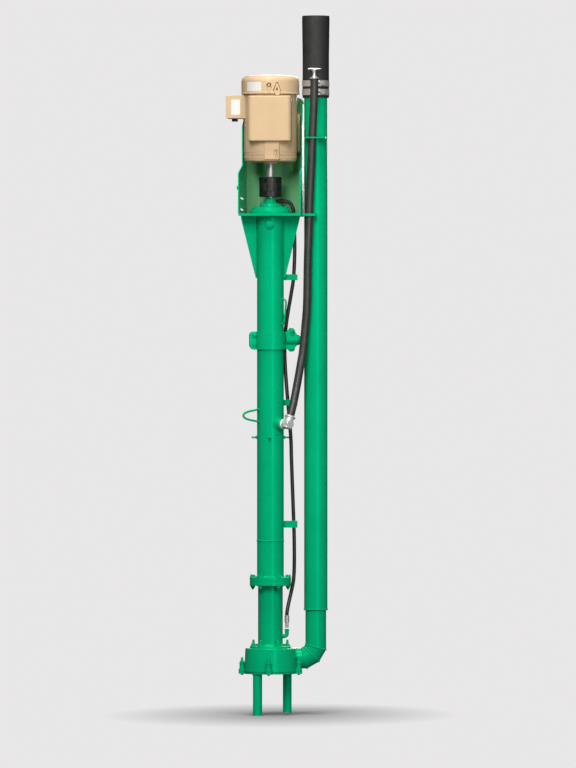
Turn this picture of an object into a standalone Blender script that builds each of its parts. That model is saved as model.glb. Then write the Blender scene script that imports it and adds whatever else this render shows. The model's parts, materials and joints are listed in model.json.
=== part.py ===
"""A vertical slurry pump: a volute on short legs, a long shaft column, a discharge pipe beside it,
and a foot-mounted electric motor on a steel stand at the top.

Units are metres and +Z is up. Inside the script, X is to the right, Y is to the back and Z is the height
above the feet, all from the column's axis. The empty pump_datum then puts the origin on the back face of
the motor stand, level with the top of the base plate, because the pump is bolted up by that face.
"""

import math

import bmesh
import bpy
from mathutils import Vector

# Clearances between pieces that touch on the real pump
GAP = 0.0003
RUNNING_GAP = 0.0005

# Heights above the feet
LEG_TOP = 0.2025
BOTTOM_PLATE_TOP = 0.213
CASING_TOP = 0.323
COVER_TOP = 0.350
FLANGE_LOW = 0.635
FLANGE_SPLIT = 0.6555
FLANGE_HIGH = 0.676
FILLER_BOSS_HEIGHT = 1.4255
COLLAR_LOW = 1.790
COLLAR_HIGH = 1.879
BRACE_HEIGHT = 1.839
LEVEL_PLUG_HEIGHT = 2.401
GUSSET_LOW = 2.141
BASE_PLATE_LOW = 2.444
BASE_PLATE_TOP = 2.456
MOTOR_LOW = 2.708
MOTOR_SPLIT = 2.740
FAN_COVER_LOW = 3.040
STAND_TOP = 3.028
GUIDE_PLATE_HEIGHT = 2.828
PIPE_LOW = 0.517
PIPE_TOP = 3.115
DISCHARGE_HOSE_LOW = 3.026
DISCHARGE_HOSE_TOP = 3.428

# Volute
CASING_RADIUS_LOW = 0.129
CASING_RADIUS_HIGH = 0.1225
CASING_BORE = 0.108
CASING_ROOF = 0.014
LUG_CIRCLE = 0.139
LUG_RADIUS = 0.017
CASING_LUG_THICKNESS = 0.014
BOTTOM_PLATE_RADIUS = 0.126
SUCTION_RADIUS = 0.052
COVER_RADIUS = 0.100
HUB_RADIUS = 0.068
LEG_RADIUS = 0.0215
LEG_SPOTS = {
    "leg_front_left": (-0.059, -0.081, 0.0),
    "leg_back_left": (-0.067, 0.075, 0.0),
    "leg_back_right": (0.079, 0.061, 0.010),
}

# Column, shaft and bearing housing
LOWER_COLUMN_RADIUS = 0.0605
COLUMN_RADIUS = 0.0655
COLUMN_WALL = 0.0063
FLANGE_RADIUS = 0.101
PUMP_SHAFT_RADIUS = 0.019
BEARING_BORE = PUMP_SHAFT_RADIUS + RUNNING_GAP
HOUSING_RADIUS = 0.102
HOUSING_NECK_RADIUS = 0.028
PUMP_SHAFT_LOW = 0.240
PUMP_SHAFT_TOP = 2.5865
IMPELLER_RADIUS = 0.098
VANE_COUNT = 5
FILLER_BOSS_RADIUS = 0.028
FILLER_BOSS_REACH = 0.096
FILLER_ELBOW_RADIUS = 0.0205
LEVEL_BOSS_RADIUS = 0.020

# Collar that clamps the brace to the column
COLLAR_WALL = 0.0085
COLLAR_EAR_REACH = 0.105
COLLAR_EAR_THICKNESS = 0.010
COLLAR_SPLIT = 0.0008
BRACE_RADIUS = 0.0205
LOBE_RADIUS = 0.0145
LOBE_REACH = 0.106
LOBE_OFFSET = 0.0425

# Loops of bar on the column
LOOP_HEIGHT = 1.468
LOOP_REACH = 0.156
LOOP_HALF = 0.029
LOOP_BAR_RADIUS = 0.005
SIDE_LOOP_TOP = 2.037
SIDE_LOOP_BEARING = -24

# Discharge line
PIPE_X = 0.219
PIPE_Y = 0.066
PIPE_RADIUS = 0.05715
PIPE_BORE = 0.0513
ELBOW_RADIUS = 0.0508
ELBOW_WALL = 0.004
ELBOW_AXIS_HEIGHT = 0.277
BEND_RADIUS = 0.076
ELBOW_OVERLAP = 0.040
ELBOW_LENGTHS = ("elbow_outlet", "elbow_lower", "elbow_upper", "elbow_riser")
NOZZLE_END = 0.1255
DISCHARGE_HOSE_BORE = 0.0576
DISCHARGE_HOSE_RADIUS = 0.065
DISCHARGE_HOSE_FLARE = 0.0675
BAND_INNER = 0.0655
BAND_OUTER = 0.0675
BAND_LEVELS = {"band_clamp_lower": (3.038, 3.068), "band_clamp_upper": (3.081, 3.110)}

# Motor and stand
MOTOR_RADIUS = 0.130
FAN_COVER_RADIUS = 0.142
SHAFT_TO_FOOT = 0.13335
MOTOR_SHAFT_RADIUS = 0.0175
MOTOR_SHAFT_LOW = 2.5875
MOTOR_SHAFT_TOP = 2.730
COUPLING_RADIUS = 0.055
COUPLING_LOW = 2.538
COUPLING_TOP = 2.636
HUB_LENGTH = 0.030
BACK_PLATE_THICKNESS = 0.010
BACK_FACE = SHAFT_TO_FOOT + BACK_PLATE_THICKNESS
STAND_LEFT = -0.150
STAND_RIGHT = 0.156
BASE_FRONT = -0.115
SIDE_THICKNESS = 0.006

# Hoses
FILLER_HOSE_RADIUS = 0.0195
GREASE_HOSE_RADIUS = 0.009
EAR_HOLE = (0.1915, -0.016)
GUIDE_HOLE = (0.2065, -0.020)
GREASE_HOLE = (0.114, 0.030)
FILLER_ROUTE = [
    (0.1025, -0.088, 1.465),
    (0.108, -0.083, 1.485),
    (0.1205, -0.066, 1.544),
    (0.131, -0.052, 1.602),
    (0.141, -0.040, 1.661),
    (0.1505, -0.030, 1.720),
    (0.160, -0.022, 1.779),
    (0.171, -0.016, 1.896),
    (0.180, -0.016, 2.014),
    (0.184, -0.016, 2.229),
    (0.1895, -0.016, 2.400),
    (0.1925, -0.016, 2.500),
    (0.2005, -0.018, 2.680),
    (0.2065, -0.020, 2.828),
    (0.211, -0.023, 2.920),
    (0.2155, -0.025, 3.028),
    (0.2170, -0.025, 3.090),
    (0.2170, -0.025, 3.116),
]
GREASE_ROUTE = [
    (0.081, 0.000, 0.488),
    (0.081, 0.000, 0.500),
    (0.088, 0.010, 0.544),
    (0.1005, 0.026, 0.603),
    (0.1115, 0.030, 0.661),
    (0.1155, 0.030, 0.740),
    (0.1150, 0.030, 0.860),
    (0.1130, 0.030, 0.935),
    (0.1085, 0.030, 1.060),
    (0.1015, 0.032, 1.250),
    (0.0980, 0.032, 1.362),
    (0.0840, 0.034, 1.530),
    (0.0760, 0.044, 1.620),
    (0.0680, 0.058, 1.730),
    (0.0670, 0.062, 1.839),
    (0.0780, 0.050, 1.940),
    (0.0990, 0.036, 2.060),
    (0.1120, 0.030, 2.145),
    (0.1175, 0.029, 2.270),
    (0.1160, 0.030, 2.380),
    (0.1140, 0.030, 2.450),
    (0.1085, 0.030, 2.483),
    (0.0950, 0.0315, 2.508),
    (0.0711, 0.0290, 2.519),
    (0.0600, 0.0245, 2.519),
]
GREASE_ELBOW_HEIGHT = 0.387
CLIP_LEVELS = {
    "hose_clip_top": (2.131, 2.160),
    "hose_clip_middle": (1.516, 1.545),
    "hose_clip_bottom": (0.918, 0.952),
}

ROUND = 40
SMALL_ROUND = 24

GREEN = ("green_paint", (0.003, 0.40, 0.165), 0.32, 0.0)
BEIGE = ("beige_paint", (0.84, 0.60, 0.37), 0.38, 0.0)
BLACK_RUBBER = ("black_rubber", (0.045, 0.044, 0.041), 0.62, 0.0)
BLACK_IRON = ("black_iron", (0.022, 0.021, 0.019), 0.42, 0.0)
BRIGHT_STEEL = ("bright_steel", (0.52, 0.50, 0.48), 0.30, 1.0)
GALVANISED = ("galvanised", (0.45, 0.45, 0.43), 0.45, 1.0)


def clear_scene():
    for obj in list(bpy.data.objects):
        bpy.data.objects.remove(obj)


def make_collection(name):
    collection = bpy.data.collections.new(name)
    bpy.context.scene.collection.children.link(collection)
    return collection


def make_empty(name, location):
    empty = bpy.data.objects.new(name, None)
    empty.location = location
    empty.empty_display_size = 0.1
    PARTS.objects.link(empty)
    return empty


def surface(finish):
    """The shared Principled material of one finish."""
    name, colour, roughness, metallic = finish
    material = bpy.data.materials.get(name)
    if material is None:
        material = bpy.data.materials.new(name)
        material.use_nodes = True
        shader = material.node_tree.nodes["Principled BSDF"]
        shader.inputs["Base Color"].default_value = (*colour, 1.0)
        shader.inputs["Roughness"].default_value = roughness
        shader.inputs["Metallic"].default_value = metallic
    return material


def add_object(name, data, finish, location=(0, 0, 0), rotation=(0, 0, 0)):
    """Links a mesh or curve as a part of the pump, or as a cutter where it has no finish."""
    obj = bpy.data.objects.new(name, data)
    obj.parent = DATUM
    obj.location = location
    obj.rotation_euler = rotation
    if finish is None:
        obj.hide_render = True
        obj.display_type = "WIRE"
        CUTTERS.objects.link(obj)
        return obj
    data.materials.append(surface(finish))
    PARTS.objects.link(obj)
    return obj


def shade_round(mesh):
    mesh.shade_smooth()
    mesh.set_sharp_from_angle(angle=math.radians(32))


def as_mesh(obj):
    """Replaces a curve, or an object with modifiers, by the one welded mesh that it makes."""
    bpy.context.view_layer.update()
    graph = bpy.context.evaluated_depsgraph_get()
    mesh = bpy.data.meshes.new_from_object(obj.evaluated_get(graph))
    shape = bmesh.new()
    shape.from_mesh(mesh)
    bmesh.ops.remove_doubles(shape, verts=shape.verts, dist=0.00002)
    bmesh.ops.recalc_face_normals(shape, faces=shape.faces)
    shape.to_mesh(mesh)
    shape.free()
    shade_round(mesh)
    name = obj.name
    collection = obj.users_collection[0]
    solid = bpy.data.objects.new(name + "_solid", mesh)
    solid.parent = obj.parent
    solid.location = obj.location
    solid.rotation_euler = obj.rotation_euler
    solid.hide_render = obj.hide_render
    solid.display_type = obj.display_type
    collection.objects.link(solid)
    bpy.data.objects.remove(obj)
    solid.name = name
    return solid


def combine(obj, other, operation):
    """Adds a live Boolean to obj, with other kept as its hidden cutter."""
    modifier = obj.modifiers.new(other.name, "BOOLEAN")
    modifier.operation = operation
    modifier.object = other
    modifier.solver = "EXACT"


def box(name, low, high, finish, bevel=0.0):
    """A block between two corners, with its edges rounded by bevel."""
    centre = [(a + b) / 2 for a, b in zip(low, high)]
    size = [b - a for a, b in zip(low, high)]
    shape = bmesh.new()
    bmesh.ops.create_cube(shape, size=1.0)
    bmesh.ops.scale(shape, vec=size, verts=shape.verts)
    mesh = bpy.data.meshes.new(name)
    shape.to_mesh(mesh)
    shape.free()
    obj = add_object(name, mesh, finish, location=centre)
    if bevel:
        modifier = obj.modifiers.new("rounded edges", "BEVEL")
        modifier.width = bevel
        modifier.segments = 2
    return obj


def rod(name, start, end, radius, finish, sides=SMALL_ROUND):
    """A solid cylinder from start to end."""
    start = Vector(start)
    end = Vector(end)
    span = end - start
    shape = bmesh.new()
    bmesh.ops.create_cone(
        shape, cap_ends=True, segments=sides, radius1=radius, radius2=radius, depth=span.length
    )
    mesh = bpy.data.meshes.new(name)
    shape.to_mesh(mesh)
    shape.free()
    shade_round(mesh)
    rotation = span.to_track_quat("Z", "Y").to_euler()
    return add_object(name, mesh, finish, location=(start + end) / 2, rotation=rotation)


def turned(name, profile, finish, spot=(0.0, 0.0), closed=False, sides=ROUND):
    """A profile of (radius, height) pairs, down its outer side, turned about the upright line at spot."""
    mesh = bpy.data.meshes.new(name)
    shape = bmesh.new()
    corners = [shape.verts.new((radius, 0, height)) for radius, height in profile]
    for first, second in zip(corners, corners[1:]):
        shape.edges.new((first, second))
    if closed:
        shape.edges.new((corners[-1], corners[0]))
    shape.to_mesh(mesh)
    shape.free()
    obj = add_object(name, mesh, finish, location=(*spot, 0))
    screw = obj.modifiers.new("turned", "SCREW")
    screw.steps = sides
    screw.render_steps = sides
    screw.use_merge_vertices = True
    screw.merge_threshold = 0.00005
    return as_mesh(obj)


def pipe(name, outer, inner, low, high, finish, spot=(0.0, 0.0), sides=ROUND):
    """A straight upright tube."""
    profile = [(outer, high), (outer, low), (inner, low), (inner, high)]
    return turned(name, profile, finish, spot, closed=True, sides=sides)


def at_bearing(centre, radius, degrees):
    angle = math.radians(degrees)
    return centre[0] + radius * math.cos(angle), centre[1] + radius * math.sin(angle)


def arc(centre, radius, start, end, steps):
    """Points on an arc, from the start angle to the end angle in degrees."""
    return [at_bearing(centre, radius, start + (end - start) * step / steps) for step in range(steps + 1)]


def circle(centre, radius, sides=SMALL_ROUND):
    return arc(centre, radius, 0, 360 - 360 / sides, sides - 1)


def plate(name, outlines, low, high, finish, rotation=(0, 0, 0), location=(0, 0)):
    """A flat piece between two heights: its first outline is the edge, and the others are holes."""
    curve = bpy.data.curves.new(name, "CURVE")
    curve.dimensions = "2D"
    curve.fill_mode = "BOTH"
    curve.extrude = (high - low) / 2
    for outline in outlines:
        spline = curve.splines.new("POLY")
        spline.points.add(len(outline) - 1)
        for point, (x, y) in zip(spline.points, outline):
            point.co = (x, y, 0, 1)
        spline.use_cyclic_u = True
    obj = add_object(name, curve, finish, location=(*location, (low + high) / 2), rotation=rotation)
    return as_mesh(obj)


def upright_plate(name, outlines, front, back, finish):
    """A flat piece that faces the front: outlines in X and Z, between two depths."""
    flat = plate(name, outlines, -back, -front, finish, rotation=(math.pi / 2, 0, 0))
    flat.location = (0, (front + back) / 2, 0)
    return flat


def smooth_route(points, step):
    """Points about one step apart on the smooth curve through a route's own points."""
    knots = [Vector(point) for point in points]
    knots = [2 * knots[0] - knots[1]] + knots + [2 * knots[-1] - knots[-2]]
    route = []
    for before, start, end, after in zip(knots, knots[1:], knots[2:], knots[3:]):
        count = max(1, round((end - start).length / step))
        for index in range(count):
            t = index / count
            bend = (2 * before - 5 * start + 4 * end - after) * t * t
            twist = (3 * start - before - 3 * end + after) * t * t * t
            route.append((2 * start + (end - before) * t + bend + twist) / 2)
    route.append(knots[-2])
    return route


def swept(name, points, radius, finish, scales=None, resolution=3):
    """A round bar or hose along points, thicker or thinner where scales says so."""
    curve = bpy.data.curves.new(name, "CURVE")
    curve.dimensions = "3D"
    curve.bevel_depth = radius
    curve.bevel_resolution = resolution
    curve.use_fill_caps = True
    spline = curve.splines.new("POLY")
    spline.points.add(len(points) - 1)
    for index, point in enumerate(points):
        spline.points[index].co = (*point, 1)
        if scales:
            spline.points[index].radius = scales[index]
    return as_mesh(add_object(name, curve, finish))


def mitred_length(name, ends, cuts, radius, wall, finish, sides=32):
    """A straight tube between two points, each end cut to a plane whose normal is given."""
    heading = (ends[1] - ends[0]).normalized()
    turn = heading.to_track_quat("Z", "Y").to_matrix()
    shape = bmesh.new()
    rings = []
    for end, cut in zip(ends, cuts):
        for size in (radius, radius - wall):
            ring = []
            for x, y in circle((0, 0), size, sides):
                spot = end + turn @ Vector((x, y, 0))
                ring.append(shape.verts.new(spot + heading * ((end - spot).dot(cut) / heading.dot(cut))))
            rings.append(ring)
    outer_start, inner_start, outer_end, inner_end = rings
    for first, second in (
        (outer_start, outer_end),
        (outer_end, inner_end),
        (inner_end, inner_start),
        (inner_start, outer_start),
    ):
        for index in range(sides):
            shape.faces.new((first[index - 1], first[index], second[index], second[index - 1]))
    bmesh.ops.recalc_face_normals(shape, faces=shape.faces)
    mesh = bpy.data.meshes.new(name)
    shape.to_mesh(mesh)
    shape.free()
    shade_round(mesh)
    return add_object(name, mesh, finish)


def lugged_outline(radius):
    """A disc's edge with its four bolt lugs: right, back, left and front."""
    half_angle = math.degrees(math.asin(LUG_RADIUS / radius))
    outline = []
    for bearing in range(0, 360, 90):
        centre = at_bearing((0, 0), LUG_CIRCLE, bearing)
        outline += arc(centre, LUG_RADIUS, bearing - 90, bearing + 90, 8)
        outline += arc((0, 0), radius, bearing + half_angle, bearing + 90 - half_angle, 10)
    return outline


def legs():
    for name, (x, y, shortfall) in LEG_SPOTS.items():
        rod(name, (x, y, shortfall), (x, y, LEG_TOP - GAP), LEG_RADIUS, GREEN)


def bottom_plate():
    outlines = [lugged_outline(BOTTOM_PLATE_RADIUS), circle((0, 0), SUCTION_RADIUS, 32)]
    plate("bottom_plate", outlines, LEG_TOP, BOTTOM_PLATE_TOP, GREEN)


def volute_casing():
    """The drum that the impeller runs in, open below, with its outlet nozzle and four bolt lugs."""
    low = BOTTOM_PLATE_TOP + GAP
    roof = CASING_TOP - CASING_ROOF
    eye = PUMP_SHAFT_RADIUS + 0.012
    profile = [
        (eye, CASING_TOP),
        (CASING_RADIUS_HIGH - 0.004, CASING_TOP),
        (CASING_RADIUS_HIGH, CASING_TOP - 0.004),
        (CASING_RADIUS_LOW, low),
        (CASING_BORE, low),
        (CASING_BORE, roof),
        (eye, roof),
    ]
    casing = turned("volute_casing", profile, GREEN, closed=True)
    lugs = plate(
        "casing_lugs",
        [lugged_outline(CASING_RADIUS_LOW - 0.003), circle((0, 0), CASING_BORE + 0.006, ROUND)],
        low + 0.0004,
        low + CASING_LUG_THICKNESS,
        None,
    )
    nozzle = rod(
        "casing_nozzle",
        (0.098, PIPE_Y, ELBOW_AXIS_HEIGHT),
        (NOZZLE_END, PIPE_Y, ELBOW_AXIS_HEIGHT),
        ELBOW_RADIUS,
        None,
        32,
    )
    outlet = rod(
        "casing_outlet",
        (0.060, PIPE_Y, ELBOW_AXIS_HEIGHT - 0.010),
        (NOZZLE_END + 0.010, PIPE_Y, ELBOW_AXIS_HEIGHT - 0.010),
        0.036,
        None,
        32,
    )
    combine(casing, lugs, "UNION")
    combine(casing, nozzle, "UNION")
    combine(casing, outlet, "DIFFERENCE")


def volute_cover():
    low = CASING_TOP + GAP
    profile = [
        (BEARING_BORE, COVER_TOP),
        (HUB_RADIUS - 0.004, COVER_TOP),
        (HUB_RADIUS, COVER_TOP - 0.004),
        (HUB_RADIUS + 0.006, low + 0.0145),
        (COVER_RADIUS - 0.003, low + 0.0145),
        (COVER_RADIUS, low + 0.0115),
        (COVER_RADIUS, low),
        (BEARING_BORE, low),
    ]
    turned("volute_cover", profile, GREEN, closed=True)


def lower_column():
    bore = LOWER_COLUMN_RADIUS - COLUMN_WALL
    profile = [
        (bore, FLANGE_SPLIT),
        (FLANGE_RADIUS, FLANGE_SPLIT),
        (FLANGE_RADIUS, FLANGE_LOW),
        (LOWER_COLUMN_RADIUS, FLANGE_LOW),
        (LOWER_COLUMN_RADIUS, COVER_TOP + GAP),
        (bore, COVER_TOP + GAP),
    ]
    turned("lower_column", profile, GREEN, closed=True)


def upper_column():
    """The long tube, with its lower flange, the filler's boss and the boss of the level plug."""
    bore = COLUMN_RADIUS - COLUMN_WALL
    profile = [
        (bore, BASE_PLATE_LOW - GAP),
        (COLUMN_RADIUS, BASE_PLATE_LOW - GAP),
        (COLUMN_RADIUS, FLANGE_HIGH),
        (FLANGE_RADIUS, FLANGE_HIGH),
        (FLANGE_RADIUS, FLANGE_SPLIT + GAP),
        (bore, FLANGE_SPLIT + GAP),
    ]
    column = turned("upper_column", profile, GREEN, closed=True)
    outward = filler_heading(filler_corner())
    height = Vector((0, 0, FILLER_BOSS_HEIGHT))
    boss_end = height + outward * FILLER_BOSS_REACH
    filler_boss = rod("filler_boss", height + outward * 0.052, boss_end, FILLER_BOSS_RADIUS, None)
    level_boss = rod(
        "level_boss",
        (0, -0.058, LEVEL_PLUG_HEIGHT),
        (0, -0.074, LEVEL_PLUG_HEIGHT),
        LEVEL_BOSS_RADIUS,
        None,
    )
    combine(column, filler_boss, "UNION")
    combine(column, level_boss, "UNION")


def filler_corner():
    """Where the filler elbow turns from the column's boss up into its hose."""
    lowest = Vector(FILLER_ROUTE[0])
    upward = (Vector(FILLER_ROUTE[1]) - lowest).normalized()
    return lowest - upward * ((lowest.z - FILLER_BOSS_HEIGHT) / upward.z)


def filler_heading(corner):
    """The level direction of the filler's boss, from the column's axis to the corner."""
    return Vector((corner.x, corner.y, 0)).normalized()


def filler_elbow():
    """A pipe elbow with a beaded rim at each end, between the boss and the hose."""
    corner = filler_corner()
    outward = filler_heading(corner)
    start = Vector((0, 0, FILLER_BOSS_HEIGHT)) + outward * (FILLER_BOSS_REACH + GAP)
    end = Vector(FILLER_ROUTE[0])
    upward = (end - corner).normalized()
    end -= upward * GAP
    bead = 0.011
    bead_scale = 1.22
    step = 0.0005
    bend = 0.024
    first = corner - outward * bend
    last = corner + upward * bend
    points = [start, start + outward * bead, start + outward * (bead + step)]
    scales = [bead_scale, bead_scale, 1.0]
    for index in range(6):
        t = index / 5
        points.append(first * (1 - t) ** 2 + corner * 2 * t * (1 - t) + last * t * t)
        scales.append(1.0)
    points += [end - upward * (bead + step), end - upward * bead, end]
    scales += [1.0, bead_scale, bead_scale]
    swept("filler_elbow", points, FILLER_ELBOW_RADIUS, GALVANISED, scales)


def filler_hose():
    route = smooth_route(FILLER_ROUTE, 0.085)
    swept("filler_hose", route, FILLER_HOSE_RADIUS, BLACK_RUBBER)


def filler_plug():
    """The T-handled plug in the filler hose's upper end."""
    x, y, top = FILLER_ROUTE[-1]
    low = top + GAP
    stem_top = low + 0.046
    bar_height = low + 0.048
    bar_half = 0.032
    disc_radius, stem_radius, bar_radius = 0.0225, 0.0072, 0.004
    profile = [
        (0, stem_top),
        (stem_radius, stem_top),
        (stem_radius, low + 0.012),
        (disc_radius, low + 0.010),
        (disc_radius, low),
        (0, low),
    ]
    plug = turned("filler_plug", profile, BRIGHT_STEEL, spot=(x, y), sides=SMALL_ROUND)
    bar = rod("plug_bar", (x - bar_half, y, bar_height), (x + bar_half, y, bar_height), bar_radius, None, 12)
    combine(plug, bar, "UNION")


def grease_hose():
    route = smooth_route(GREASE_ROUTE, 0.05)
    swept("grease_hose", route, GREASE_HOSE_RADIUS, BLACK_RUBBER, resolution=2)


def grease_fitting():
    """The swivel elbow that feeds the lower bearing through the column's wall."""
    x, y, top = GREASE_ROUTE[0]
    height = GREASE_ELBOW_HEIGHT
    wall = LOWER_COLUMN_RADIUS + RUNNING_GAP
    swivel_top = height + 0.020
    crimp_low = top - 0.034
    step = 0.0005
    points = [
        (wall, y, height),
        (x - 0.012, y, height),
        (x - 0.004, y, height + 0.003),
        (x, y, height + 0.011),
        (x, y, swivel_top),
        (x, y, swivel_top + step),
        (x, y, crimp_low),
        (x, y, crimp_low + step),
        (x, y, top - GAP),
    ]
    scales = [1.0, 1.0, 1.0, 1.0, 1.0, 0.75, 0.75, 1.25, 1.25]
    swept("grease_fitting", points, 0.0095, BRIGHT_STEEL, scales)


def hose_clips():
    """Flat bars welded to the column, each hooked back round the grease hose."""
    front = GREASE_HOLE[1] - GREASE_HOSE_RADIUS - 0.0055
    back = front + 0.004
    reach = 0.130
    root = math.sqrt(COLUMN_RADIUS**2 - front**2) + RUNNING_GAP
    outline = [
        (root, front),
        (reach - 0.006, front),
        (reach - 0.002, front + 0.002),
        (reach, front + 0.006),
        (reach, front + 0.026),
        (reach - 0.004, front + 0.026),
        (reach - 0.004, back + 0.004),
        (reach - 0.006, back),
        (root, back),
    ]
    for name, (low, high) in CLIP_LEVELS.items():
        plate(name, [outline], low, high, GREEN)


def cable_loop():
    """A loop of bar on the column's left front."""
    outward = Vector((-0.81, -0.586, 0)).normalized()
    near = COLUMN_RADIUS + RUNNING_GAP
    upper = [(0, 0.93), (0.3, 1.0), (0.55, 0.93), (0.78, 0.74), (0.93, 0.42)]
    lower = [(share, -rise) for share, rise in reversed(upper)]
    route = []
    for share, rise in upper + [(1.0, 0.0)] + lower:
        spot = outward * (near + (LOOP_REACH - near) * share)
        spot.z = LOOP_HEIGHT + LOOP_HALF * rise
        route.append(spot)
    swept("cable_loop", route, LOOP_BAR_RADIUS, GREEN, resolution=2)


def side_loop():
    """A low loop of bar on the column's right front, which leans in at its foot."""
    bearing = math.radians(SIDE_LOOP_BEARING)
    outward = Vector((math.cos(bearing), math.sin(bearing), 0))
    near = COLUMN_RADIUS + RUNNING_GAP
    shape = [(0, 0), (0.010, -0.001), (0.017, -0.005), (0.020, -0.014), (0.019, -0.040), (0.013, -0.090)]
    shape += [(0.0095, -0.112), (0.0065, -0.1195), (0, -0.120)]
    route = []
    for distance, drop in shape:
        spot = outward * (near + distance)
        spot.z = SIDE_LOOP_TOP + drop
        route.append(spot)
    swept("side_loop", route, LOOP_BAR_RADIUS, GREEN, resolution=2)


def collar_and_brace():
    """A two-piece clamp round the column, whose right ears grip the brace to the discharge pipe."""
    bearing = math.atan2(PIPE_Y, PIPE_X)
    inner = COLUMN_RADIUS + 0.0005
    outer = COLUMN_RADIUS + COLLAR_WALL
    thickness = COLLAR_EAR_THICKNESS
    meet = math.degrees(math.asin((thickness + COLLAR_SPLIT) / outer))
    split = math.degrees(math.asin(COLLAR_SPLIT / inner))
    mirrored = {"collar_front": -1, "collar_back": 1}
    for name, side in mirrored.items():
        strap = arc((0, 0), outer, split, 180 - meet, 16)
        strap += [(-COLLAR_EAR_REACH + 0.006, COLLAR_SPLIT + thickness)]
        strap += [(-COLLAR_EAR_REACH, COLLAR_SPLIT + thickness - 0.003)]
        strap += [(-COLLAR_EAR_REACH, COLLAR_SPLIT)]
        strap += arc((0, 0), inner, 180 - split, split, 16)
        strap = [(x, side * y) for x, y in strap]
        collar = plate(name, [strap], COLLAR_LOW, COLLAR_HIGH, GREEN, rotation=(0, 0, bearing))
        low, high = BRACE_HEIGHT - LOBE_OFFSET, BRACE_HEIGHT + LOBE_OFFSET
        ear = [(outer - 0.004, COLLAR_HIGH - 0.010), (outer - 0.004, COLLAR_LOW + 0.010)]
        ear += arc((LOBE_REACH, low), LOBE_RADIUS, 200, 380, 8)
        ear += arc((LOBE_REACH + 0.014, BRACE_HEIGHT), 0.026, -40, 40, 6)
        ear += arc((LOBE_REACH, high), LOBE_RADIUS, -20, 160, 8)
        depths = sorted((side * (COLLAR_SPLIT + 0.0003), side * (COLLAR_SPLIT + thickness)))
        grip = upright_plate(name + "_grip", [ear], depths[0], depths[1], None)
        turn_about_column(grip, bearing)
        seat = rod(
            name + "_seat",
            (inner + 0.010, 0, BRACE_HEIGHT),
            (0.200, 0, BRACE_HEIGHT),
            BRACE_RADIUS + 0.0004,
            None,
        )
        turn_about_column(seat, bearing)
        combine(collar, grip, "UNION")
        combine(collar, seat, "DIFFERENCE")
    brace = rod(
        "brace_pipe", (outer + 0.002, 0, BRACE_HEIGHT), (0.190, 0, BRACE_HEIGHT), BRACE_RADIUS, GREEN
    )
    turn_about_column(brace, bearing)
    saddle = pipe_cutter("brace_saddle", BRACE_HEIGHT - 0.05, BRACE_HEIGHT + 0.05)
    combine(brace, saddle, "DIFFERENCE")


def turn_about_column(obj, angle):
    """Swings a placed piece round the column's axis."""
    x, y, z = obj.location
    cos, sin = math.cos(angle), math.sin(angle)
    obj.location = (x * cos - y * sin, x * sin + y * cos, z)
    turned_euler = obj.rotation_euler.to_matrix()
    turned_euler.rotate(Vector((1, 0, 0)).rotation_difference(Vector((cos, sin, 0))))
    obj.rotation_euler = turned_euler.to_euler()


def pipe_cutter(name, low, high):
    """The space of the discharge pipe, for a plate that is welded round it."""
    return rod(name, (PIPE_X, PIPE_Y, low), (PIPE_X, PIPE_Y, high), PIPE_RADIUS + 0.0005, None, ROUND)


def discharge_elbow():
    """The bend from the volute's nozzle up into the discharge pipe: four lengths with mitred ends."""
    bend_x = PIPE_X - BEND_RADIUS
    bend_z = ELBOW_AXIS_HEIGHT + BEND_RADIUS
    reach = BEND_RADIUS / math.cos(math.radians(15))
    corners = [Vector((NOZZLE_END + GAP / 2, PIPE_Y, ELBOW_AXIS_HEIGHT))]
    cuts = [Vector((1, 0, 0))]
    for mitre in (15, 45, 75):
        angle = math.radians(mitre)
        corners.append(Vector((bend_x + reach * math.sin(angle), PIPE_Y, bend_z - reach * math.cos(angle))))
        cuts.append(Vector((math.cos(angle), 0, math.sin(angle))))
    corners.append(Vector((PIPE_X, PIPE_Y, PIPE_LOW + ELBOW_OVERLAP)))
    cuts.append(Vector((0, 0, 1)))
    for index, name in enumerate(ELBOW_LENGTHS):
        start, end = corners[index : index + 2]
        inset = (end - start).normalized() * (GAP / 2)
        mitred_length(
            name, (start + inset, end - inset), cuts[index : index + 2], ELBOW_RADIUS, ELBOW_WALL, GREEN
        )


def discharge_pipe():
    pipe("discharge_pipe", PIPE_RADIUS, PIPE_BORE, PIPE_LOW, PIPE_TOP, GREEN, spot=(PIPE_X, PIPE_Y))


def discharge_hose():
    """The length of rubber hose over the pipe's upper end."""
    profile = [
        (DISCHARGE_HOSE_FLARE, DISCHARGE_HOSE_TOP),
        (DISCHARGE_HOSE_FLARE, DISCHARGE_HOSE_TOP - 0.030),
        (DISCHARGE_HOSE_RADIUS, DISCHARGE_HOSE_TOP - 0.200),
        (DISCHARGE_HOSE_RADIUS, DISCHARGE_HOSE_LOW),
        (DISCHARGE_HOSE_BORE, DISCHARGE_HOSE_LOW),
        (DISCHARGE_HOSE_BORE, DISCHARGE_HOSE_TOP),
    ]
    turned("discharge_hose", profile, BLACK_RUBBER, spot=(PIPE_X, PIPE_Y), closed=True)


def band_clamps():
    for name, (low, high) in BAND_LEVELS.items():
        pipe(name, BAND_OUTER, BAND_INNER, low, high, BRIGHT_STEEL, spot=(PIPE_X, PIPE_Y))


def guide_plate():
    """The saddle on the pipe's front that the filler hose runs through."""
    edge = [(0.169, -0.047), (0.266, -0.047), (0.273, -0.040), (0.273, 0.030), (0.169, 0.030)]
    guide = plate(
        "hose_guide",
        [edge, circle(GUIDE_HOLE, FILLER_HOSE_RADIUS + 0.0014)],
        GUIDE_PLATE_HEIGHT - 0.003,
        GUIDE_PLATE_HEIGHT + 0.003,
        GREEN,
    )
    cutter = pipe_cutter("guide_saddle", GUIDE_PLATE_HEIGHT - 0.05, GUIDE_PLATE_HEIGHT + 0.05)
    combine(guide, cutter, "DIFFERENCE")


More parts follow.
